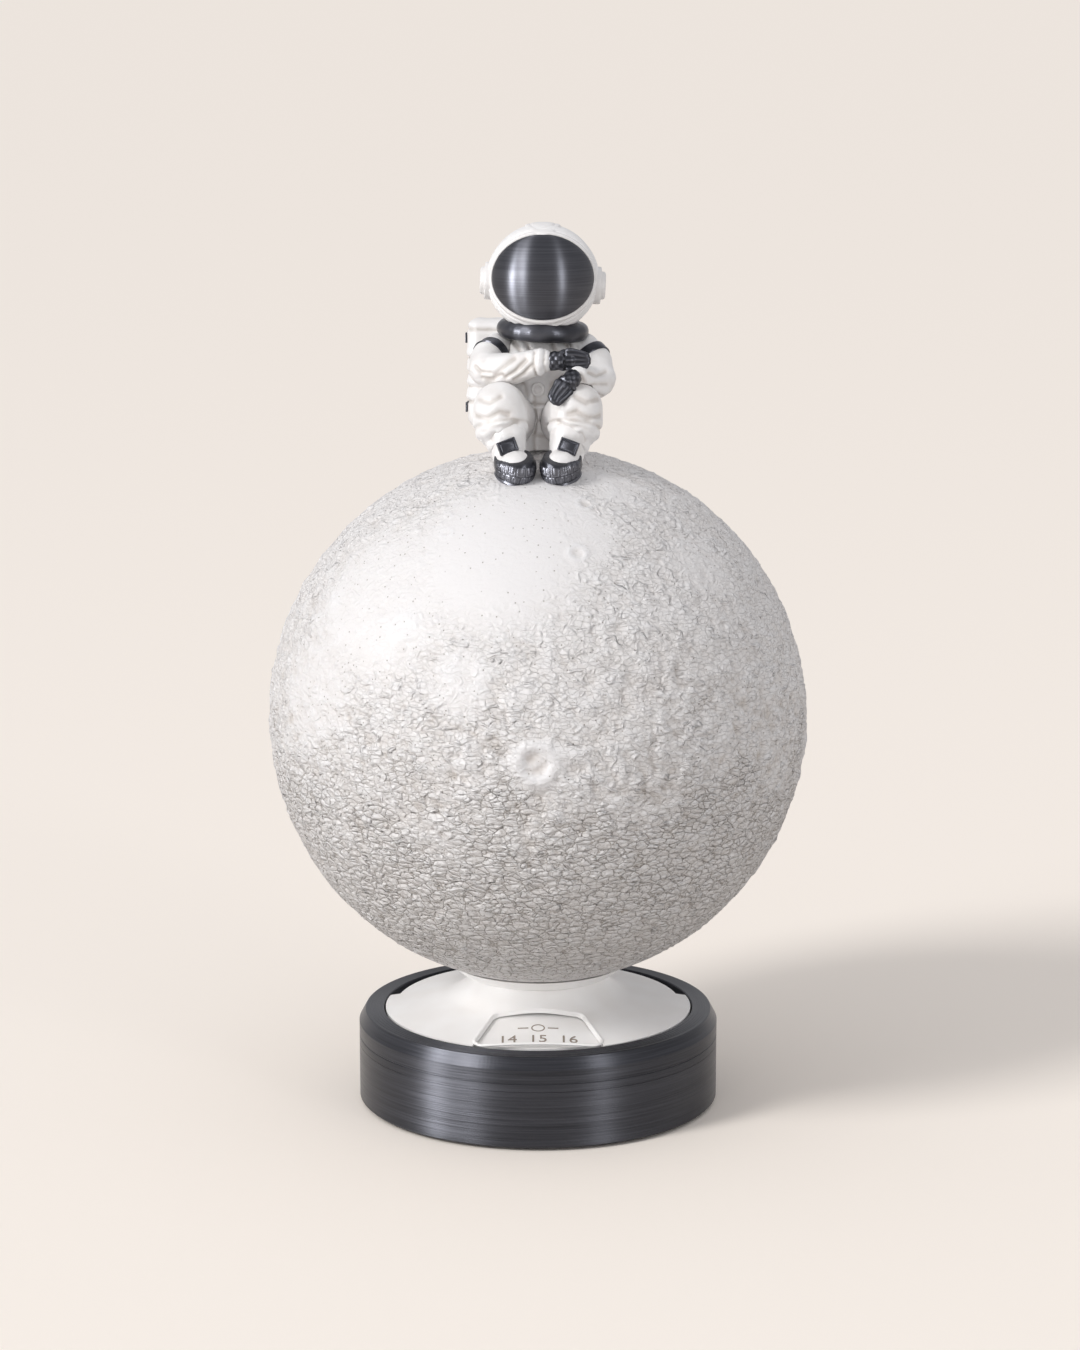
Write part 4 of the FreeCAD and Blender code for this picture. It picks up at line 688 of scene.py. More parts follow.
def bezel_mesh():
    """The ring, whose steps wander a little to and fro, as printed ones do."""
    mesh = lathe(bezel_outline(), RING_STEPS)
    for vertex in mesh.verts:
        radius = math.hypot(vertex.co.x, vertex.co.y) / MM
        if WELL_R + 0.5 < radius < 48.2 and vertex.co.z > 26.0 * MM:
            angle = math.atan2(vertex.co.y, vertex.co.x)
            wander = 0.16 * math.sin(angle + radius) + 0.10 * math.sin(3 * angle + 2 * radius)
            vertex.co.xy *= 1 + wander / radius
    return mesh


piece("bezel_shell", bezel_mesh(), silk, "base", "dark_shell", "bezel_ring", flat=True)

# %% [markdown]
# ## Window border and dial marks
# The plate's window has a soft raised border. The dial below it shows one sector at a time:
# a small picture of the moon's phase between two bars, and the days of the cycle under it.

# %% Window border
CONE_RISE = 0.2126
PLATE_RIM_R = 43.2
BORDER_WIDTH = 0.95
BORDER_HEIGHT = 0.42
WINDOW = [(-18.0, -39.3), (18.0, -39.3), (12.0, -22.2), (-12.0, -22.2)]
WINDOW_CORNER_R = 2.5


def cone_z(x, y, base):
    """Height of the plate's cone, or of the dial's, in mm."""
    return base + (PLATE_RIM_R - math.hypot(x, y)) * CONE_RISE


def rounded_outline(corners, radius, count=8):
    """Points and outward directions round a shape with rounded corners, in mm."""
    found = []
    for before, corner, after in zip(corners[-1:] + corners[:-1], corners,
                                     corners[1:] + corners[:1]):
        to_before = (Vector(before) - Vector(corner)).normalized()
        to_after = (Vector(after) - Vector(corner)).normalized()
        bisector = (to_before + to_after).normalized()
        half = to_before.angle(to_after) / 2
        middle = Vector(corner) + bisector * radius / math.sin(half)
        start = -Vector((-to_before.y, to_before.x))
        start = start if start.dot(bisector) < 0 else -start
        end = -Vector((-to_after.y, to_after.x))
        end = end if end.dot(bisector) < 0 else -end
        for number in range(count + 1):
            way = start.slerp(end, number / count)
            found.append((middle + way * radius, way))
    return found


def along_rim(outline, pieces=14):
    """Adds points on the long outer side, so that it can follow the round rim."""
    full = []
    for (point, way), (after, after_way) in zip(outline, outline[1:] + outline[:1]):
        full.append((point, way))
        if (after - point).length > 6:
            for number in range(1, pieces):
                share = number / pieces
                full.append((point.lerp(after, share), way.lerp(after_way, share).normalized()))
    return full


def window_border():
    mesh = bmesh.new()
    angles = [math.radians(a) for a in (-40, 0, 30, 60, 90, 120, 150, 180, 220)]
    rings = []
    for point, way in along_rim(rounded_outline(WINDOW, WINDOW_CORNER_R)):
        ring = []
        for angle in angles:
            place = point + way * (0.5 + 0.5 * math.cos(angle)) * BORDER_WIDTH
            top = cone_z(place.x, place.y, RIM_TOP) + math.sin(angle) * BORDER_HEIGHT
            ring.append(mesh.verts.new(Vector((place.x, place.y, top)) * MM))
        rings.append(ring)
    for ring, following in zip(rings, rings[1:] + rings[:1]):
        for i in range(len(angles)):
            j = (i + 1) % len(angles)
            mesh.faces.new((ring[i], ring[j], following[j], following[i]))
    bmesh.ops.recalc_face_normals(mesh, faces=mesh.faces)
    return mesh


piece("window_border", window_border(), white, "turntable", "white_plate")

# %% Dial marks
DIAL_TOP = 25.1
MARK_DEPTH = 0.08
PICTURE_ROW_R = 28.6
NUMBER_ROW_R = 34.6
NUMBER_TALL = 3.9
PICTURE_R = 1.9
CYCLE_DAYS = (15, 18, 22, 26, 29, 4, 8, 11)
FULL_MOON_DAY, CYCLE_LENGTH = 14.8, 29.5


def flat_text(words, tall):
    """The faces of some numbers as a mesh, centred, in mm."""
    curve = bpy.data.curves.new("numbers", "FONT")
    curve.body = words
    curve.size = tall * 1.38
    curve.align_x, curve.align_y = "CENTER", "CENTER"
    curve.resolution_u = 3
    written = bpy.data.objects.new("numbers", curve)
    bpy.context.scene.collection.objects.link(written)
    bpy.context.view_layer.update()
    data = bpy.data.meshes.new_from_object(written.evaluated_get(
        bpy.context.evaluated_depsgraph_get()))
    bpy.data.objects.remove(written)
    mesh = bmesh.new()
    mesh.from_mesh(data)
    return mesh


def outline_face(mesh, points):
    mesh.faces.new([mesh.verts.new((*point, 0)) for point in points])


def phase_picture(day):
    """A ring with the dark part of the moon in it, between two bars."""
    mesh = bmesh.new()
    turn = [math.radians(a) for a in range(0, 360, 10)]
    outer, inner = PICTURE_R, PICTURE_R * 0.82
    for start, end in zip(turn, turn[1:] + turn[:1]):
        outline_face(mesh, [(r * math.cos(a), r * math.sin(a)) for r, a in (
            (inner, start), (outer, start), (outer, end), (inner, end))])
    age = (day - FULL_MOON_DAY) / CYCLE_LENGTH % 1
    if 0.06 < age < 0.94:
        rises = np.linspace(-1, 1, 15) * inner * 0.93
        lengths = np.sqrt(np.maximum((inner * 0.93) ** 2 - rises ** 2, 0))
        side = 1 if age < 0.5 else -1
        shade = math.cos(2 * math.pi * age)
        rim = [(side * w, v) for w, v in zip(lengths, rises)]
        line = [(side * w * shade, v) for w, v in zip(lengths, rises)]
        outline_face(mesh, rim + line[-2:0:-1])
    for side in (-1, 1):
        outline_face(mesh, [(side * u, v) for u, v in (
            (2.7, -0.25), (5.6, -0.25), (5.6, 0.25), (2.7, 0.25))])
    return mesh


def on_dial(mesh, radius, turn):
    """Lays a flat drawing on the dial's cone at a radius and turns it to its sector."""
    bmesh.ops.remove_doubles(mesh, verts=mesh.verts, dist=1e-4)
    bmesh.ops.recalc_face_normals(mesh, faces=mesh.faces)
    thick = bmesh.ops.extrude_face_region(mesh, geom=mesh.faces[:])["geom"]
    raised = {v for v in thick if isinstance(v, bmesh.types.BMVert)}
    for vertex in mesh.verts:
        x, y = vertex.co.x, vertex.co.y - radius
        lift = MARK_DEPTH if vertex in raised else -MARK_DEPTH
        vertex.co = Vector((x, y, cone_z(x, y, DIAL_TOP) + lift)) * MM
    bmesh.ops.rotate(mesh, cent=(0, 0, 0), matrix=Matrix.Rotation(turn, 3, "Z"),
                     verts=mesh.verts)
    bmesh.ops.recalc_face_normals(mesh, faces=mesh.faces)
    return mesh


def dial_marks():
    drawings = []
    for number, day in enumerate(CYCLE_DAYS):
        turn = number * 2 * math.pi / len(CYCLE_DAYS)
        days = "  ".join(str(day + shift) for shift in (-1, 0, 1))
        drawings.append(on_dial(phase_picture(day), PICTURE_ROW_R, turn))
        drawings.append(on_dial(flat_text(days, NUMBER_TALL), NUMBER_ROW_R, turn))
    return joined(drawings)


# Matte brown-grey of the engraved lines, which reads softly on the white dial.
mark_ink, _ = finish_of("engraved_marks", "#8F8378", 0.7)
piece("dial_print", dial_marks(), mark_ink, "base", "white_plate", flat=True)

# %% [markdown]
# ## The seated figure
# The figure is printed in white and in dark silk filament, with folds carved into it. Each piece
# starts from round forms, or from the form that the CAD part has. A voxel remesh covers them
# with one skin of small even squares and smoothing rounds the joins. Then the folds, seams and
# cuffs are carved: each point moves along its normal by a height in mm.

# %% Helpers for carved pieces
MOON_TOP = 186.1


def spot(x, y, up):
    """A point of the figure: x and y in mm, and the height over the moon's top."""
    return Vector((x, y, MOON_TOP + up)) * MM


def cad_form(*names):
    """The forms of CAD parts, merged, as a block to carve."""
    mesh = bmesh.new()
    for name in names:
        mesh.from_mesh(nodes[name].data)
    bmesh.ops.remove_doubles(mesh, verts=mesh.verts, dist=0.001 * MM)
    return mesh


def add_egg(mesh, centre, radii, turn=None):
    """Adds a ball that is stretched to three radii in mm."""
    matrix = Matrix.LocRotScale(centre, turn or Euler(), Vector(radii) * MM)
    bmesh.ops.create_uvsphere(mesh, u_segments=48, v_segments=32, radius=1, matrix=matrix)


def add_limb(mesh, joints):
    """Adds balls and the cones between them. A joint is a point and a radius in mm."""
    for centre, radius in joints:
        add_egg(mesh, centre, (radius,) * 3)
    for (start, thick), (end, thin) in zip(joints, joints[1:]):
        way = end - start
        turn = way.to_track_quat("Z", "Y").to_matrix().to_4x4()
        bmesh.ops.create_cone(mesh, cap_ends=True, segments=48, radius1=thick * MM,
                              radius2=thin * MM, depth=way.length,
                              matrix=Matrix.Translation((start + end) / 2) @ turn)


def skin_over(mesh, square, passes):
    """One even skin over all forms of a mesh, of squares of a size in mm, then smoothed."""
    rough = object_of(mesh, "rough_form")
    cover = rough.modifiers.new("cover", "REMESH")
    cover.mode = "VOXEL"
    cover.voxel_size = square * MM
    soften = rough.modifiers.new("soften", "SMOOTH")
    soften.iterations = passes
    bpy.context.view_layer.update()
    seen = rough.evaluated_get(bpy.context.evaluated_depsgraph_get())
    skin = bmesh.new()
    skin.from_mesh(bpy.data.meshes.new_from_object(seen))
    bpy.data.objects.remove(rough)
    return skin


def carve(mesh, heights):
    """Moves each point along its normal by a height in mm, and returns the heights."""
    mesh.normal_update()
    places = np.array([vertex.co for vertex in mesh.verts]) / MM - (0, 0, MOON_TOP)
    normals = np.array([vertex.normal for vertex in mesh.verts])
    moved = heights(places, normals)
    for vertex, height in zip(mesh.verts, moved):
        vertex.co += vertex.normal * (float(height) * MM)
    return moved


def drawn(places, normals, lines):
    """Folds drawn on the front. A line is points (x, up), a half width and a height in mm."""
    total = np.zeros(len(places))
    flat = places[:, [0, 2]]
    for points, width, height in lines:
        nearest = np.full(len(places), 99.0)
        for start, end in zip(np.array(points), np.array(points)[1:]):
            way = end - start
            share = np.clip((flat - start) @ way / (way @ way), 0, 1)
            gap = np.linalg.norm(flat - start - share[:, None] * way, axis=1)
            nearest = np.minimum(nearest, gap)
        total += height * np.exp(-(nearest / width) ** 2)
    return total * step(-normals[:, 1], 0.0, 0.45)


def puckers(places, spacing, height, along, stretch, seed):
    """Soft cloth folds: noise that is longer along one direction, with rounded crests."""
    along = Vector(along).normalized()
    shift = Vector((seed, 2 * seed, 3 * seed))
    made = []
    for place in places:
        point = Vector(place)
        warped = point + noise.noise_vector(point / (2.2 * spacing) + shift) * spacing * 0.8
        reach = warped.dot(along)
        squeezed = (warped - along * reach * (1 - 1 / stretch)) / spacing
        made.append(0.75 * noise.noise(squeezed + shift)
                    + 0.3 * (0.4 - abs(noise.noise(1.7 * squeezed - shift)) * 1.6))
    return height * np.array(made)


def cloth(lines, *pucker):
    """Heights of cloth: folds that are drawn on its front, and puckers all over."""
    return lambda places, normals: drawn(places, normals, lines) + puckers(places, *pucker)


# %% [markdown]
# ### White and dark filament of the figure
# The white parts have painted shade in their folds. The dark parts have a painted highlight on
# their crests and painted shade in their hollows. A bump of fine level lines stands for the
# layers. The visor is a silk print whose layers run level, so its highlights stand upright: the
# lines bend the light up and down much more than sideways.


# %% Finishes of the figure
SUIT_LAYER_MM = 0.32
VISOR_LINE_MM = 0.3


def suit_print():
    """White print of the suit, with painted shade in the hollows of its folds."""
    material, shader = finish_of("suit_printed_pla", "#EDEAE6", 0.48, IOR=1.46)
    fold = add(material, "Attribute", {"attribute_name": "fold_height"}).outputs["Fac"]
    mixed = add(material, "Math", {"operation": "MULTIPLY_ADD"}, {
        0: mottle(material, 4.5, 4.0), 1: 0.35, 2: fold})
    # Painted shade: low parts of the folds are greyer, the crests a little lighter, with a
    # mottle.
    tone = ramp(material, mixed.outputs[0], [
        (0.25, "#CCC6C1"), (0.5, "#E7E4E2"), (0.8, "#F0EFEF")])
    relief = bump(material, mottle(material, (6, 6, SUIT_LAYER_MM), 2.0), 0.04)
    relief = bump(material, mottle(material, 0.7, 3.0), 0.07, 0.8, relief)
    return feed(material, shader, Base_Color=tone, Normal=relief)


def figure_filament():
    """Dark silk of the small parts, with painted highlight on crests and painted shade in
    hollows.
    """
    material = silk_filament("figure_silk", "#2F3035")
    fold = add(material, "Attribute", {"attribute_name": "fold_height"}).outputs["Fac"]
    # Painted shade where the carving is low and a painted highlight on its crests.
    tone = ramp(material, fold, [(0.3, "#222327"), (0.5, "#414248"), (0.68, "#6B6C73")])
    return feed(material, material.node_tree.nodes["Principled BSDF"], Base_Color=tone)


def visor_silk():
    """Black silk print with fine level lines and soft upright highlights."""
    material, shader = finish_of("visor_silk_print", "#53545B", 0.40, Metallic=0.8,
                                 Anisotropic=0.9, Anisotropic_Rotation=0.25)
    lines = mottle(material, (25, 25, VISOR_LINE_MM), 1.0)
    way = add(material, "Tangent", {"direction_type": "UV_MAP", "uv_map": "level"})
    tone = ramp(material, lines, [(0.35, "#494A50"), (0.65, "#54555B")])
    return feed(material, shader, Base_Color=tone, Normal=bump(material, lines, 0.02),
                Tangent=way.outputs["Tangent"])


# Each finish of the figure is paired with the name of a slot.
SUIT = (suit_print(), "suit_white")
DARK = (figure_filament(), "figure_dark")
VISOR = (visor_silk(), "visor_dark")
NO_FOLD = 0.5


def figure_piece(part, mesh, finish, folds=None):
    """A figure piece in a CAD part's place. Its folds are kept for painted shade in the material.
    """
    layer = mesh.verts.layers.float.new("fold_height")
    for number, vertex in enumerate(mesh.verts):
        vertex[layer] = NO_FOLD if folds is None else NO_FOLD + float(folds[number])
    material, slot = finish
    return piece(part + "_print", mesh, material, "moon", slot, part)


def carved_piece(part, mesh, heights, finish=SUIT):
    """Carves a skin and makes it a piece, with painted shade in the hollows of the carving."""
    folds = np.clip(carve(mesh, heights) * 0.9, -0.4, 0.35)
    return figure_piece(part, mesh, finish, folds)


def carved_cad(part, square, passes, heights, finish=SUIT):
    """Carves the CAD part itself, under a skin of squares of a size in mm."""
    return carved_piece(part, skin_over(cad_form(part), square, passes), heights, finish)


# %% [markdown]
# ### Helmet
# The helmet is a ball with raised bands around the visor. Where a band runs is told by the
# distance to the visor's edge, measured along the ball, so every band keeps its width from the
# brow to the ears. The visor, its rim and the pad are profiles that are spun round the oval.

# %% Helmet shell
HELMET_R = 14.9
HELMET_X, HELMET_Y, HELMET_UP = 1.3, -1.5, 45.9
HELMET = spot(HELMET_X, HELMET_Y, HELMET_UP)
LOOK_UP = math.radians(8)
VISOR_HALF = (13.6, 11.3)
PAD_HALF = (4.8, 8.5)


def oval_angle(across, up, halves):
    """Angle at the ball's centre, from the oval's middle to its edge, in each direction."""
    length = np.hypot(across, up) + 1e-9
    edge = 1 / np.hypot(across / length / halves[0], up / length / halves[1])
    return np.arcsin(np.minimum(edge / HELMET_R, 1))


def helmet_heights(places, normals):
    """Bands of the helmet, by their distance outside the visor's edge."""
    level = Matrix.Rotation(LOOK_UP, 3, "X")
    across, ahead, up = ((places - (HELMET_X, HELMET_Y, HELMET_UP)) @ np.array(level).T).T
    to_front = np.arccos(np.clip(-ahead / HELMET_R, -1, 1))
    outside = HELMET_R * (to_front - oval_angle(across, up, VISOR_HALF))
    upper = step(up, -2.5, 2.5)
    brow = 0.62 * step(outside, 1.9, 2.3) * (1 - step(outside, 4.5, 5.0)) * upper
    brow += 0.28 * step(outside, 5.3, 5.7) * (1 - step(outside, 8.6, 9.2)) * upper
    chin = 0.7 * np.exp(-((outside - 2.5) / 0.55) ** 2)
    chin += 0.6 * np.exp(-((outside - 4.2) / 0.6) ** 2)
    chin += 0.30 * np.exp(-((outside - 6.1) / 0.7) ** 2)
    seat = -1.3 * (1 - step(outside, -0.6, 0.1))
    return brow + chin * (1 - upper) + seat


helmet = blown_cube(75)
bmesh.ops.scale(helmet, verts=helmet.verts, vec=(HELMET_R * MM,) * 3)
bmesh.ops.translate(helmet, verts=helmet.verts, vec=HELMET)
carved_piece("helmet_shell", helmet, helmet_heights)


# %% Visor, rim and pad
def spun_oval(profile, halves, axis, steps=144):
    """Spins a profile round an oval that lies on the helmet.

    A profile point is a share of the way to the oval's edge, where each 0.1 past 1 is 1 mm,
    and a height over the helmet in mm."""
    mesh = lathe(profile, steps)
    for vertex in mesh.verts:
        share = math.hypot(vertex.co.x, vertex.co.y) / MM
        course = math.atan2(vertex.co.y, vertex.co.x)
        across, up = math.cos(course), math.sin(course)
        edge = float(oval_angle(across, up, halves))
        angle = edge * min(share, 1) + max(share - 1, 0) * 10 / HELMET_R
        side = Vector((across, 0, up)) if axis == "front" else Vector((across, up, 0))
        middle = Vector((0, -1, 0)) if axis == "front" else Vector((0, 0, 1))
        way = side * math.sin(angle) + middle * math.cos(angle)
        if axis == "front":
            way.rotate(Euler((-LOOK_UP, 0, 0)))
        vertex.co = HELMET + way * (HELMET_R * MM + vertex.co.z)
    bmesh.ops.recalc_face_normals(mesh, faces=mesh.faces)
    return mesh


def dome_profile(top, bottom, roll):
    """A lens with a rolled edge: out over the top, down, and back under it."""
    outward = [(share, top) for share in np.linspace(0, 1 - 2 * roll, 14)]
    rolled = [(1 - roll, top - 0.05), (1 - roll / 3, top - 0.2)]
    inward = [(share, bottom) for share in np.linspace(1, 0, 12)]
    return outward + rolled + inward


def give_level_uv(mesh, centre):
    """A UV map whose first direction runs level round the helmet."""
    layer = mesh.loops.layers.uv.new("level")
    for face in mesh.faces:
        for loop in face.loops:
            away = loop.vert.co - centre
            loop[layer].uv = (math.atan2(away.x, -away.y), away.z / (HELMET_R * MM))


lens_mesh = spun_oval(dome_profile(0.42, -1.1, 0.012), VISOR_HALF, "front")
give_level_uv(lens_mesh, HELMET)
figure_piece("visor", lens_mesh, VISOR)
RIM_PROFILE = [(1.004, -1.0), (1.004, 0.2), (1.016, 0.48), (1.045, 0.66), (1.09, 0.72),
               (1.135, 0.6), (1.165, 0.3), (1.175, -0.2), (1.175, -1.0)]
figure_piece("visor_rim", spun_oval(RIM_PROFILE, VISOR_HALF, "front"), SUIT)
PAD_PROFILE = [(0, 0.66), (0.25, 0.66), (0.5, 0.66), (0.62, 0.64), (0.66, 0.48), (0.72, 0.48),
               (0.76, 0.64), (0.9, 0.62), (0.97, 0.5), (1.0, 0.2), (1.0, -0.6), (0.5, -0.6),
               (0, -0.6)]
figure_piece("helmet_pad", spun_oval(PAD_PROFILE, PAD_HALF, "top"), SUIT)

# %% Ear pods
EAR_PROFILE = [(0, 12.0), (5.1, 12.0), (5.1, 15.4), (4.95, 15.75), (4.6, 15.9), (4.3, 15.85),
               (4.2, 15.55), (3.95, 15.55), (3.85, 15.8), (3.75, 16.6), (3.5, 16.95),
               (3.1, 17.1), (2.75, 17.0), (2.6, 16.5), (1.5, 16.35), (1.3, 16.6), (0, 16.65)]
EAR_DROP = 1.0
EAR_TILT = math.radians(2.5)


def ear_pods():
    """Two stepped discs that face left and right."""
    pods = []
    for side in (-1, 1):
        pod = lathe(EAR_PROFILE, 72, closed=False)
        place = Matrix.Translation(HELMET - Vector((0, 0, EAR_DROP * MM)))
        lean = Matrix.Rotation(EAR_TILT, 4, "Y")
        turn = Matrix.Rotation(side * math.pi / 2, 4, "Y")
        bmesh.ops.transform(pod, matrix=place @ lean @ turn, verts=pod.verts)
        pods.append(pod)
    return joined(pods)


figure_piece("ear_pods", ear_pods(), SUIT)

# %% Neck ring
NECK_R = 9.9
NECK_UP = 32.1
NECK_TILT = math.radians(3)


def neck_form():
    """A padded ring under the helmet, thinner on its inner side."""
    outline = [(NECK_R + 2.75 * math.cos(a), 2.6 * math.sin(a)) for a in
               np.linspace(0, 2 * math.pi, 32, endpoint=False)]
    outline = [(radius if radius > NECK_R else NECK_R + 1.2 * (radius - NECK_R), height)
               for radius, height in outline]
    mesh = lathe(outline, 96)
    place = Matrix.Translation(spot(HELMET_X, HELMET_Y + 1, NECK_UP))
    bmesh.ops.transform(mesh, matrix=place @ Matrix.Rotation(NECK_TILT, 4, "Y"),
                        verts=mesh.verts)
    return skin_over(mesh, 0.45, 3)


carved_piece("neck_ring", neck_form(), cloth([], 5.0, 0.2, (0, 0, 1), 1.6, 4.0), DARK)

# %% [markdown]
# ### Body and backpack
# The suit's body has a seam down the middle, a belt line and folds that run out from the
# collar. The pack is a padded block with level grooves and a raised panel on its back.

# %% Torso and chest button
TORSO_LINES = [
    ([(-1.0, 15.0), (-0.8, 9.0), (-1.1, 4.0), (-0.8, -3.0)], 0.40, -0.55),
    ([(-7.5, 13.0), (-3.0, 12.6), (3.0, 12.5), (7.5, 13.0)], 0.45, -0.50),
    ([(-7.5, 12.1), (-3.0, 11.7), (3.0, 11.6), (7.5, 12.1)], 0.45, 0.30),
    ([(-7.0, 29.5), (-4.6, 26.5), (-3.4, 23.0)], 0.70, -0.60),
    ([(-3.6, 29.8), (-2.0, 27.0), (-1.6, 23.5)], 0.60, -0.50),
    ([(3.8, 29.6), (4.6, 27.4), (7.0, 25.2)], 0.70, -0.60),
    ([(7.0, 29.6), (9.0, 27.6), (12.0, 26.6)], 0.80, -0.55),
    ([(-6.5, 19.5), (-3.6, 17.8), (-3.0, 15.0)], 0.60, -0.50),
    ([(6.6, 19.5), (3.9, 18.0), (3.2, 15.2)], 0.60, -0.50),
    ([(-6.0, 10.5), (-3.2, 8.8), (-1.2, 8.4)], 0.55, -0.45),
    ([(6.0, 10.2), (3.2, 8.4), (-0.4, 8.0)], 0.55, -0.45),
    ([(-5.0, 5.8), (-2.8, 4.2), (-1.2, 4.4)], 0.50, -0.40),
    ([(5.0, 5.4), (2.6, 3.6), (-0.4, 4.0)], 0.50, -0.40)]
carved_cad("torso", 0.45, 5, cloth(TORSO_LINES, 4.8, 0.55, (0.3, 0, 1), 2.4, 1.0))
BUTTON_PROFILE = [(0, 3.0), (2.0, 3.0), (2.0, 0.75), (1.9, 0.5), (1.6, 0.35), (1.4, 0.42),
                  (1.3, 0.6), (1.0, 0.62), (0.9, 0.42), (0.5, 0.35), (0, 0.35)]


def chest_button():
    """A ringed button that faces the front, on the CAD button's place."""
    low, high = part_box("chest_button")
    front = Vector(((low[0] + high[0]) / 2, low[1], (low[2] + high[2]) / 2))
    mesh = lathe(BUTTON_PROFILE, 64, closed=False)
    turn = Matrix.Rotation(-math.pi / 2, 4, "X")
    bmesh.ops.transform(mesh, matrix=Matrix.Translation(front) @ turn, verts=mesh.verts)
    bmesh.ops.recalc_face_normals(mesh, faces=mesh.faces)
    return mesh


figure_piece("chest_button", chest_button(), SUIT)

# %% Backpack
PACK_GROOVES = (10.4, 14.6, 18.4, 22.6, 30.6)


def pack_heights(places, normals):
    """Level grooves between the padded parts, and a panel on the back."""
    up = places[:, 2]
    total = puckers(places, 5.5, 0.4, (0, 0, 1), 1.5, 8.0)
    for groove in PACK_GROOVES:
        total += -0.55 * np.exp(-((up - groove) / 0.45) ** 2)
        total += 0.22 * np.exp(-((up - groove - 1.5) / 0.8) ** 2)
    across = places[:, 0] + 7.5
    inside = np.minimum(9.5 - abs(across), 8.2 - abs(up - 16.6))
    behind = step(normals[:, 1], 0.5, 0.8) * step(places[:, 1], 14, 16)
    return total * (1 - 0.7 * behind * step(inside, -1, 0)) + behind * (
        0.45 * step(inside, 0, 0.5) - 0.4 * np.exp(-((inside + 0.3) / 0.4) ** 2))


def strap_heights(places, normals):
    """Fine slanting ribs, as of a woven band."""
    return 0.04 * np.sin(places[:, 0] * 2.4 + places[:, 1] * 2.4)


carved_cad("backpack", 0.5, 4, pack_heights)
carved_cad("backpack_straps", 0.25, 2, strap_heights, DARK)

# %% [markdown]
# ### Arms, gloves, legs and boots
# Arms and legs are the CAD forms with folds: on the arms they run across the bend of the elbow
# and slant along the forearm, on the legs they gather above the rolled cuff. The gloves are
# four fingers that lie side by side, so the ridges between them are real.

# %% Arms and their bands
LEFT_ARM_LINES = [
    ([(-0.9, 28.0), (-1.3, 24.8), (-0.4, 21.0)], 0.35, -0.55),
    ([(0.4, 28.0), (0.0, 24.8), (0.9, 21.0)], 0.75, 0.45),
    ([(1.9, 28.0), (1.6, 24.8), (2.4, 21.0)], 0.30, -0.35),
    ([(-8.8, 20.6), (-6.0, 22.4), (-3.2, 25.8)], 0.70, -0.65),
    ([(-6.4, 20.0), (-4.0, 21.6), (-1.8, 24.0)], 0.60, -0.55),
    ([(-11.6, 21.4), (-9.0, 23.8), (-6.6, 26.0)], 0.80, -0.50),
    ([(-15.2, 20.2), (-12.2, 20.0), (-9.6, 21.4)], 0.60, -0.45),
    ([(-17.2, 23.4), (-15.6, 21.8), (-13.0, 21.8)], 0.60, -0.45)]
RIGHT_ARM_LINES = [
    ([(13.8, 22.0), (16.0, 20.8), (18.4, 21.6)], 0.60, -0.55),
    ([(12.8, 17.6), (15.2, 18.6), (18.6, 18.2)], 0.60, -0.50),
    ([(12.6, 15.6), (15.0, 16.2), (17.6, 15.0)], 0.55, -0.45),
    ([(11.4, 21.8), (12.6, 19.4), (12.2, 17.0)], 0.55, -0.40)]
BAND_PROUD = 0.4
BAND_REACH = 7.0


def arm_band(arm, near, far, width):
    """A band that lies on an arm: a slice of the arm's own mesh, made a little larger."""
    mesh = bmesh.new()
    mesh.from_mesh(arm.data)
    way = (far - near).normalized()
    middle = near + (far - near) * 0.72
    for side in (-1, 1):
        cut_away(mesh, middle + way * side * width / 2 * MM, way * side)
    far_off = [v for v in mesh.verts if (v.co - middle).length > BAND_REACH * MM]
    bmesh.ops.delete(mesh, geom=far_off, context="VERTS")
    bmesh.ops.holes_fill(mesh, edges=mesh.edges, sides=0)
    mesh.normal_update()
    for vertex in mesh.verts:
        outward = vertex.normal - way * vertex.normal.dot(way)
        if outward.length > 0.3:
            vertex.co += outward.normalized() * BAND_PROUD * MM
    return mesh


left_arm = carved_cad("left_arm", 0.36, 5,
                      cloth(LEFT_ARM_LINES, 4.2, 0.42, (1, 0, 0.7), 2.6, 2.0))
right_arm = carved_cad("right_arm", 0.36, 5,
                       cloth(RIGHT_ARM_LINES, 4.2, 0.42, (1, 0, -0.3), 2.6, 5.0))
LEFT_BAND = (left_arm, spot(-10.8, 1, 26.6), spot(-13.4, -3, 24.6), 2.8)
RIGHT_BAND = (right_arm, spot(12.4, 1, 26.6), spot(15.2, -2, 23.4), 2.6)
figure_piece("arm_bands", joined([arm_band(*LEFT_BAND), arm_band(*RIGHT_BAND)]), DARK)

# %% Gloves
FINGER_R = 1.12
FINGER_COUNT = 4


def glove_form(wrist, knuckles, tips, spread, palm_r, cuff_r):
    """Cuff, palm, and four fingers side by side along one direction of spread."""
    mesh = bmesh.new()
    add_limb(mesh, [(wrist, cuff_r), (wrist.lerp(knuckles, 0.45), cuff_r * 0.98)])
    add_limb(mesh, [(wrist.lerp(knuckles, 0.5), palm_r * 0.94), (knuckles, palm_r * 0.8)])
    for number in range(FINGER_COUNT):
        share = number / (FINGER_COUNT - 1) * 2 - 1
        offset = spread * share
        shorter = 1 - 0.1 * share * share
        near = wrist.lerp(knuckles, 0.6) + offset * 0.95
        middle = knuckles + offset
        end = knuckles.lerp(tips, shorter) + offset * 0.66
        add_limb(mesh, [(near, FINGER_R), (middle, FINGER_R), (end, FINGER_R * 0.86)])
    return skin_over(mesh, 0.2, 3)


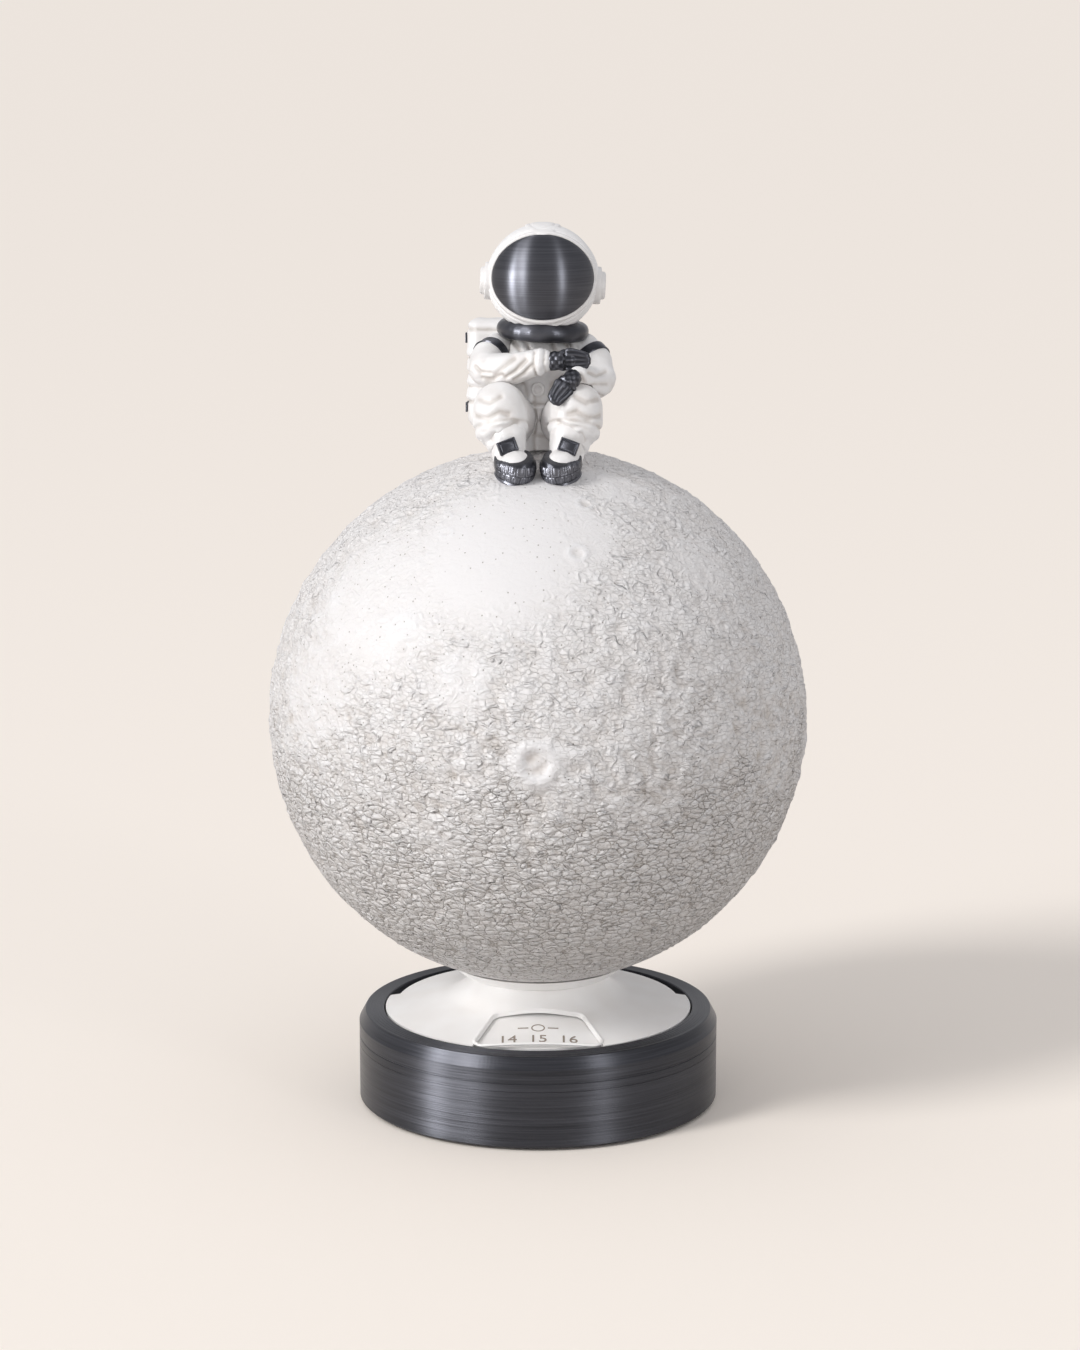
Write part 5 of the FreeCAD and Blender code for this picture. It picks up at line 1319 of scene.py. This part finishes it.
def glove_heights(start, end, spread, cuff):
    """Blocks on the cuff, and a crest along each finger, by the place on the glove."""
    width = spread.length / MM
    spread = np.array(spread.normalized())
    start, end = np.array(start) / MM, np.array(end) / MM
    start[2] -= MOON_TOP
    end[2] -= MOON_TOP

    def heights(places, normals):
        way = end - start
        share = (places - start) @ way / (way @ way)
        length = share * np.linalg.norm(way)
        side = (places - start - share[:, None] * way) @ spread
        drawn_in = 1 - 0.28 * step(share, 0.55, 1.0)
        crests = -np.cos(3 * math.pi * side / (width * drawn_in))
        blocks = np.sin(side * 3.0 + 1) * np.sin(length * 3.2)
        hand = step(share, cuff, cuff + 0.08)
        total = 0.13 * crests * hand * (1 - step(share, 0.85, 1.0))
        total += 0.10 * np.sign(blocks) * np.sqrt(abs(blocks)) * (1 - hand)
        total += -0.22 * np.exp(-((share - cuff) / 0.03) ** 2)
        return total

    return heights


UPPER_GLOVE = [spot(3.9, -14.3, 25.0), spot(8.6, -14.9, 25.5), spot(13.4, -14.9, 25.1)]
UPPER_SPREAD = Vector((0.15, -0.25, 2.0)) * MM
LOWER_SPREAD = Vector((1.45, -0.2, -1.25)) * MM
LOWER_GLOVE = [spot(9.2, -17.3, 20.6), spot(6.9, -19.9, 18.4), spot(4.2, -22.2, 15.2)]
CUFF_SHARE = 0.36
for name, joints, spread, palm_r, cuff_r in (
        ("upper_glove", UPPER_GLOVE, UPPER_SPREAD, 2.2, 2.6),
        ("lower_glove", LOWER_GLOVE, LOWER_SPREAD, 2.1, 2.5)):
    carved_piece(name, glove_form(*joints, spread, palm_r, cuff_r),
                 glove_heights(joints[0], joints[2], spread, CUFF_SHARE), DARK)

# %% Legs
LEFT_LEG_LINES = [
    ([(-16.4, 15.0), (-13.0, 14.6), (-10.0, 16.2)], 0.80, -0.50),
    ([(-17.0, 10.6), (-13.6, 10.4), (-10.4, 12.2), (-8.0, 11.6)], 0.80, -0.60),
    ([(-14.6, 6.6), (-11.8, 8.2), (-8.4, 8.0), (-5.4, 9.0)], 0.70, -0.55),
    ([(-12.6, 4.2), (-11.6, 6.6)], 0.60, -0.50),
    ([(-9.6, 4.6), (-9.2, 6.8)], 0.60, -0.50),
    ([(-6.6, 5.4), (-6.4, 7.4)], 0.55, -0.45)]
RIGHT_LEG_LINES = [([(-x, up) for x, up in points], width, height)
                   for points, width, height in LEFT_LEG_LINES]
CUFF_POINT = spot(8.9, -17.9, 5.2)


def leg_heights(side, lines, seed):
    """Drawn folds, puckers, and the roll of the cuff round the ankle."""
    cuff = np.array(CUFF_POINT) / MM - (0, 0, MOON_TOP)
    tilt = np.array((side * 0.12, 0.34, 0.93))

    def heights(places, normals):
        over = (places - cuff * (side, 1, 1)) @ tilt
        near = step(-places[:, 1], 10, 14)
        roll = 0.55 * np.exp(-((over - 0.9) / 0.9) ** 2) - 0.55 * np.exp(
            -((over - 2.9) / 0.55) ** 2)
        return (drawn(places, normals, lines) + roll * near * 0.8
                + puckers(places, 5.4, 0.5, (side * 0.4, 0.2, 1), 2.6, seed))

    return heights


for side, name, lines, seed in ((-1, "left_leg", LEFT_LEG_LINES, 3.0),
                                (1, "right_leg", RIGHT_LEG_LINES, 6.0)):
    carved_cad(name, 0.4, 6, leg_heights(side, lines, seed))

# %% Boots and soles
TOE_IN = math.radians(24)
CAP_HALF = (5.3, 7.3, 5.9)
CAP_SPOT = (6.3, -23.6, -1.9)


def boot_form(side):
    """The white shaft and heel of a boot, which stand behind the dark toe cap."""
    mesh = bmesh.new()
    add_limb(mesh, [(spot(side * 7.7, -18.9, -0.9), 4.5), (spot(side * 8.3, -18.1, 5.4), 5.1)])
    add_egg(mesh, spot(side * 6.9, -22.3, -1.7), (4.7, 6.2, 4.0), Euler((0, 0, -side * TOE_IN)))
    return skin_over(mesh, 0.4, 4)


def cap_matrix(side):
    """Place and turn of a toe cap: toes in, and tipped back."""
    return (Matrix.Translation(spot(side * CAP_SPOT[0], CAP_SPOT[1], CAP_SPOT[2]))
            @ Matrix.Rotation(-side * TOE_IN, 4, "Z") @ Matrix.Rotation(math.radians(17), 4, "X"))


def cap_form(side):
    """Toe cap and sole: an egg that is cut off slanting at the top, with a lip at the sole."""
    mesh = bmesh.new()
    matrix = cap_matrix(side)
    place, turn, _ = matrix.decompose()
    add_egg(mesh, place, CAP_HALF, turn)
    up = matrix.to_3x3() @ Vector((side * 0.22, 0.10, 0.97))
    cut_away(mesh, matrix @ Vector((0, 0, 2.3 * MM)), up)
    bmesh.ops.holes_fill(mesh, edges=mesh.edges, sides=0)
    return skin_over(mesh, 0.27, 2)


def cap_heights(side):
    """Raised blocks in two rows round the toe, a line over the sole and its rounded lip."""
    inverse = cap_matrix(side).inverted()

    def heights(places, normals):
        local = np.array([inverse @ spot(*place) for place in places]) / MM
        course = np.degrees(np.arctan2(local[:, 0], -local[:, 1]))
        rise = local[:, 2]
        row = np.where(rise > -0.5, 0.0, 0.5)
        block = (course / 19 + row) % 1
        joint = np.minimum((0.5 - abs(block - 0.5)) * 19 * 0.12, abs(rise + 0.5))
        raised = step(joint, 0.08, 0.26) * step(rise, -2.9, -2.6)
        raised *= 1 - 0.6 * step(joint, 0.42, 0.55) * (1 - step(joint, 0.75, 0.88))
        edge = 0.55 * step(-rise, 3.0, 3.3)
        line = -0.30 * np.exp(-((rise + 2.85) / 0.22) ** 2)
        front = step(-local[:, 1], -1.5, 1.0)
        return (0.28 * raised * front + line) * (rise < 1.9) + edge

    return heights


for side, name in ((-1, "left"), (1, "right")):
    carved_piece(f"{name}_boot", boot_form(side), cloth([], 3.0, 0.3, (0, 0, 1), 2.0, 9.0))
    carved_piece(f"{name}_sole", cap_form(side), cap_heights(side), DARK)

# %% Shin plates
PLATE_HALF = (2.6, 0.7, 1.85)
PLATE_SPOT = (8.2, -24.1, 3.1)


def framed_plate():
    """A plate with a raised frame and a bar in its sunk middle, facing the front."""
    mesh = bmesh.new()
    bmesh.ops.create_cube(mesh, size=2)
    bmesh.ops.scale(mesh, verts=mesh.verts, vec=Vector(PLATE_HALF) * MM)
    front = min(mesh.faces, key=lambda face: face.calc_center_median().y)
    for thickness, depth in ((0.55, 0), (0.1, -0.4), (0.4, 0), (0.1, 0.25)):
        bmesh.ops.inset_region(mesh, faces=[front], thickness=thickness * MM, depth=depth * MM)
    return round_edges(mesh, 0.16, 40, 2)


def shin_plates():
    """The plates of both legs, leaning back and slanting down to the outside."""
    plates = []
    for side in (-1, 1):
        plate = framed_plate()
        turn = (Matrix.Translation(spot(side * PLATE_SPOT[0], PLATE_SPOT[1], PLATE_SPOT[2]))
                @ Matrix.Rotation(-side * math.radians(8), 4, "Z")
                @ Matrix.Rotation(math.radians(-14), 4, "X")
                @ Matrix.Rotation(side * math.radians(19), 4, "Y"))
        bmesh.ops.transform(plate, matrix=turn, verts=plate.verts)
        plates.append(plate)
    return joined(plates)


figure_piece("shin_plates", shin_plates(), DARK)

# %% [markdown]
# ## Finishes for the CAD parts
# The other parts keep their CAD shape and take a better material. Moulded parts have a faint
# mottle and a fine grain. Metals have streaks that run along their length or round the axis.

# %% Finishes for the CAD parts


def moulded(name, colour, paler, roughness, grain_mm, depth_mm, stretch=(1, 1, 1), **settings):
    """A material whose colour and relief vary by one noise of a real grain size."""
    material, shader = finish_of(name, colour, roughness, **settings)
    grain = mottle(material, tuple(grain_mm / factor for factor in stretch), 4.0)
    tone = ramp(material, grain, [(0.35, colour), (0.65, paler)])
    return feed(material, shader, Base_Color=tone, Normal=bump(material, grain, depth_mm))


ALONG_Z = (1, 1, 0.04)
LEVEL = (0.04, 0.04, 1)
CAD_FINISHES = [
    (silk, ("base_cup", "push_button")),
    (white, ("cover_plate", "phase_dial", "moon_collar")),
    # Matt dark ABS: a fine even texture that keeps the inside of the base quiet.
    (moulded("dark_abs", "#232427", "#2B2C30", 0.62, 0.35, 0.03),
     ("bottom_plate", "deck_plate", "column_cap", "battery_tray", "board_pillars")),
    # Soft rubber: dull and slightly dusty, so the feet do not shine.
    (moulded("foot_rubber", "#1B1B1C", "#262626", 0.88, 0.5, 0.05), ("rubber_feet",)),
    # Zinc-plated steel: small bright points with a faint patchy tone.
    (moulded("zinc_steel", "#B4B6B8", "#C6C7C8", 0.30, 0.8, 0.01, Metallic=1.0),
     ("bottom_screws", "deck_screws", "dial_screws", "board_screws", "collar_screws",
      "retaining_clip", "figure_peg")),
    # Bent steel sheet of the socket: brushed level.
    (moulded("socket_steel", "#A9ABAD", "#BEBFC0", 0.34, 0.3, 0.01, LEVEL, Metallic=1.0),
     ("usb_socket",)),
    # Drawn aluminium tube: lengthwise drawing lines.
    (moulded("drawn_aluminium", "#B9BBBD", "#C9CACB", 0.33, 0.25, 0.01, ALONG_Z, Metallic=1.0),
     ("light_column",)),
    # Natural nylon: waxy and a little yellow.
    (moulded("natural_nylon", "#DEDACD", "#E6E3D8", 0.40, 1.2, 0.02, Subsurface_Weight=0.15),
     ("thrust_washer", "switch_plunger")),
    # White solder mask over glass cloth: the weave shows as a faint grain.
    (moulded("white_solder_mask", "#E9E8E3", "#F1F0EC", 0.35, 0.6, 0.02), ("led_strip",)),
    # Phosphor over the lamps: saturated yellow under a smooth resin.
    (moulded("yellow_phosphor", "#E3C84A", "#EFD968", 0.28, 0.5, 0.02), ("led_chips",)),
    # Frosted diffuser: milky, so the lamps under it show as a soft glow of colour.
    (moulded("frosted_polycarbonate", "#EDEBE6", "#F5F3EF", 0.55, 0.4, 0.02,
             Transmission_Weight=0.25), ("led_cover",)),
    # Light stop: the deepest black of the lamp, which stops stray light.
    (moulded("matt_black_pla", "#141415", "#1B1B1C", 0.75, 0.42, 0.04, LEVEL),
     ("phase_shade", "shade_brackets")),
    # Shrink wrap of the cell: glossy, with long soft wrinkles.
    (moulded("cell_shrink_wrap", "#2A4C8C", "#335A9E", 0.24, 6.0, 0.12, ALONG_Z),
     ("battery_cell",)),
    # Green solder mask: glossy, and lighter where copper lies under it.
    (moulded("green_solder_mask", "#14512F", "#1E6A3F", 0.25, 2.2, 0.02), ("control_board",)),
    # Moulded epoxy of the chip and the switch.
    (moulded("black_epoxy", "#1A1A1B", "#242425", 0.55, 0.25, 0.02),
     ("driver_chip", "tact_switch")),
    # Varnished copper wire: warm, with a fine texture of turns.
    (moulded("varnished_copper", "#8F4B22", "#B5683A", 0.30, 0.35, 0.04, Metallic=1.0),
     ("charging_coil",)),
    # PVC insulation of the leads: bright red and smooth.
    (moulded("red_pvc", "#B3201C", "#C42C26", 0.34, 1.5, 0.02), ("battery_lead", "column_lead")),
]
for material, names in CAD_FINISHES:
    for name in names:
        nodes[name].data.materials.clear()
        nodes[name].data.materials.append(material)
print(sum(len(names) for _, names in CAD_FINISHES), "CAD parts have a finish")
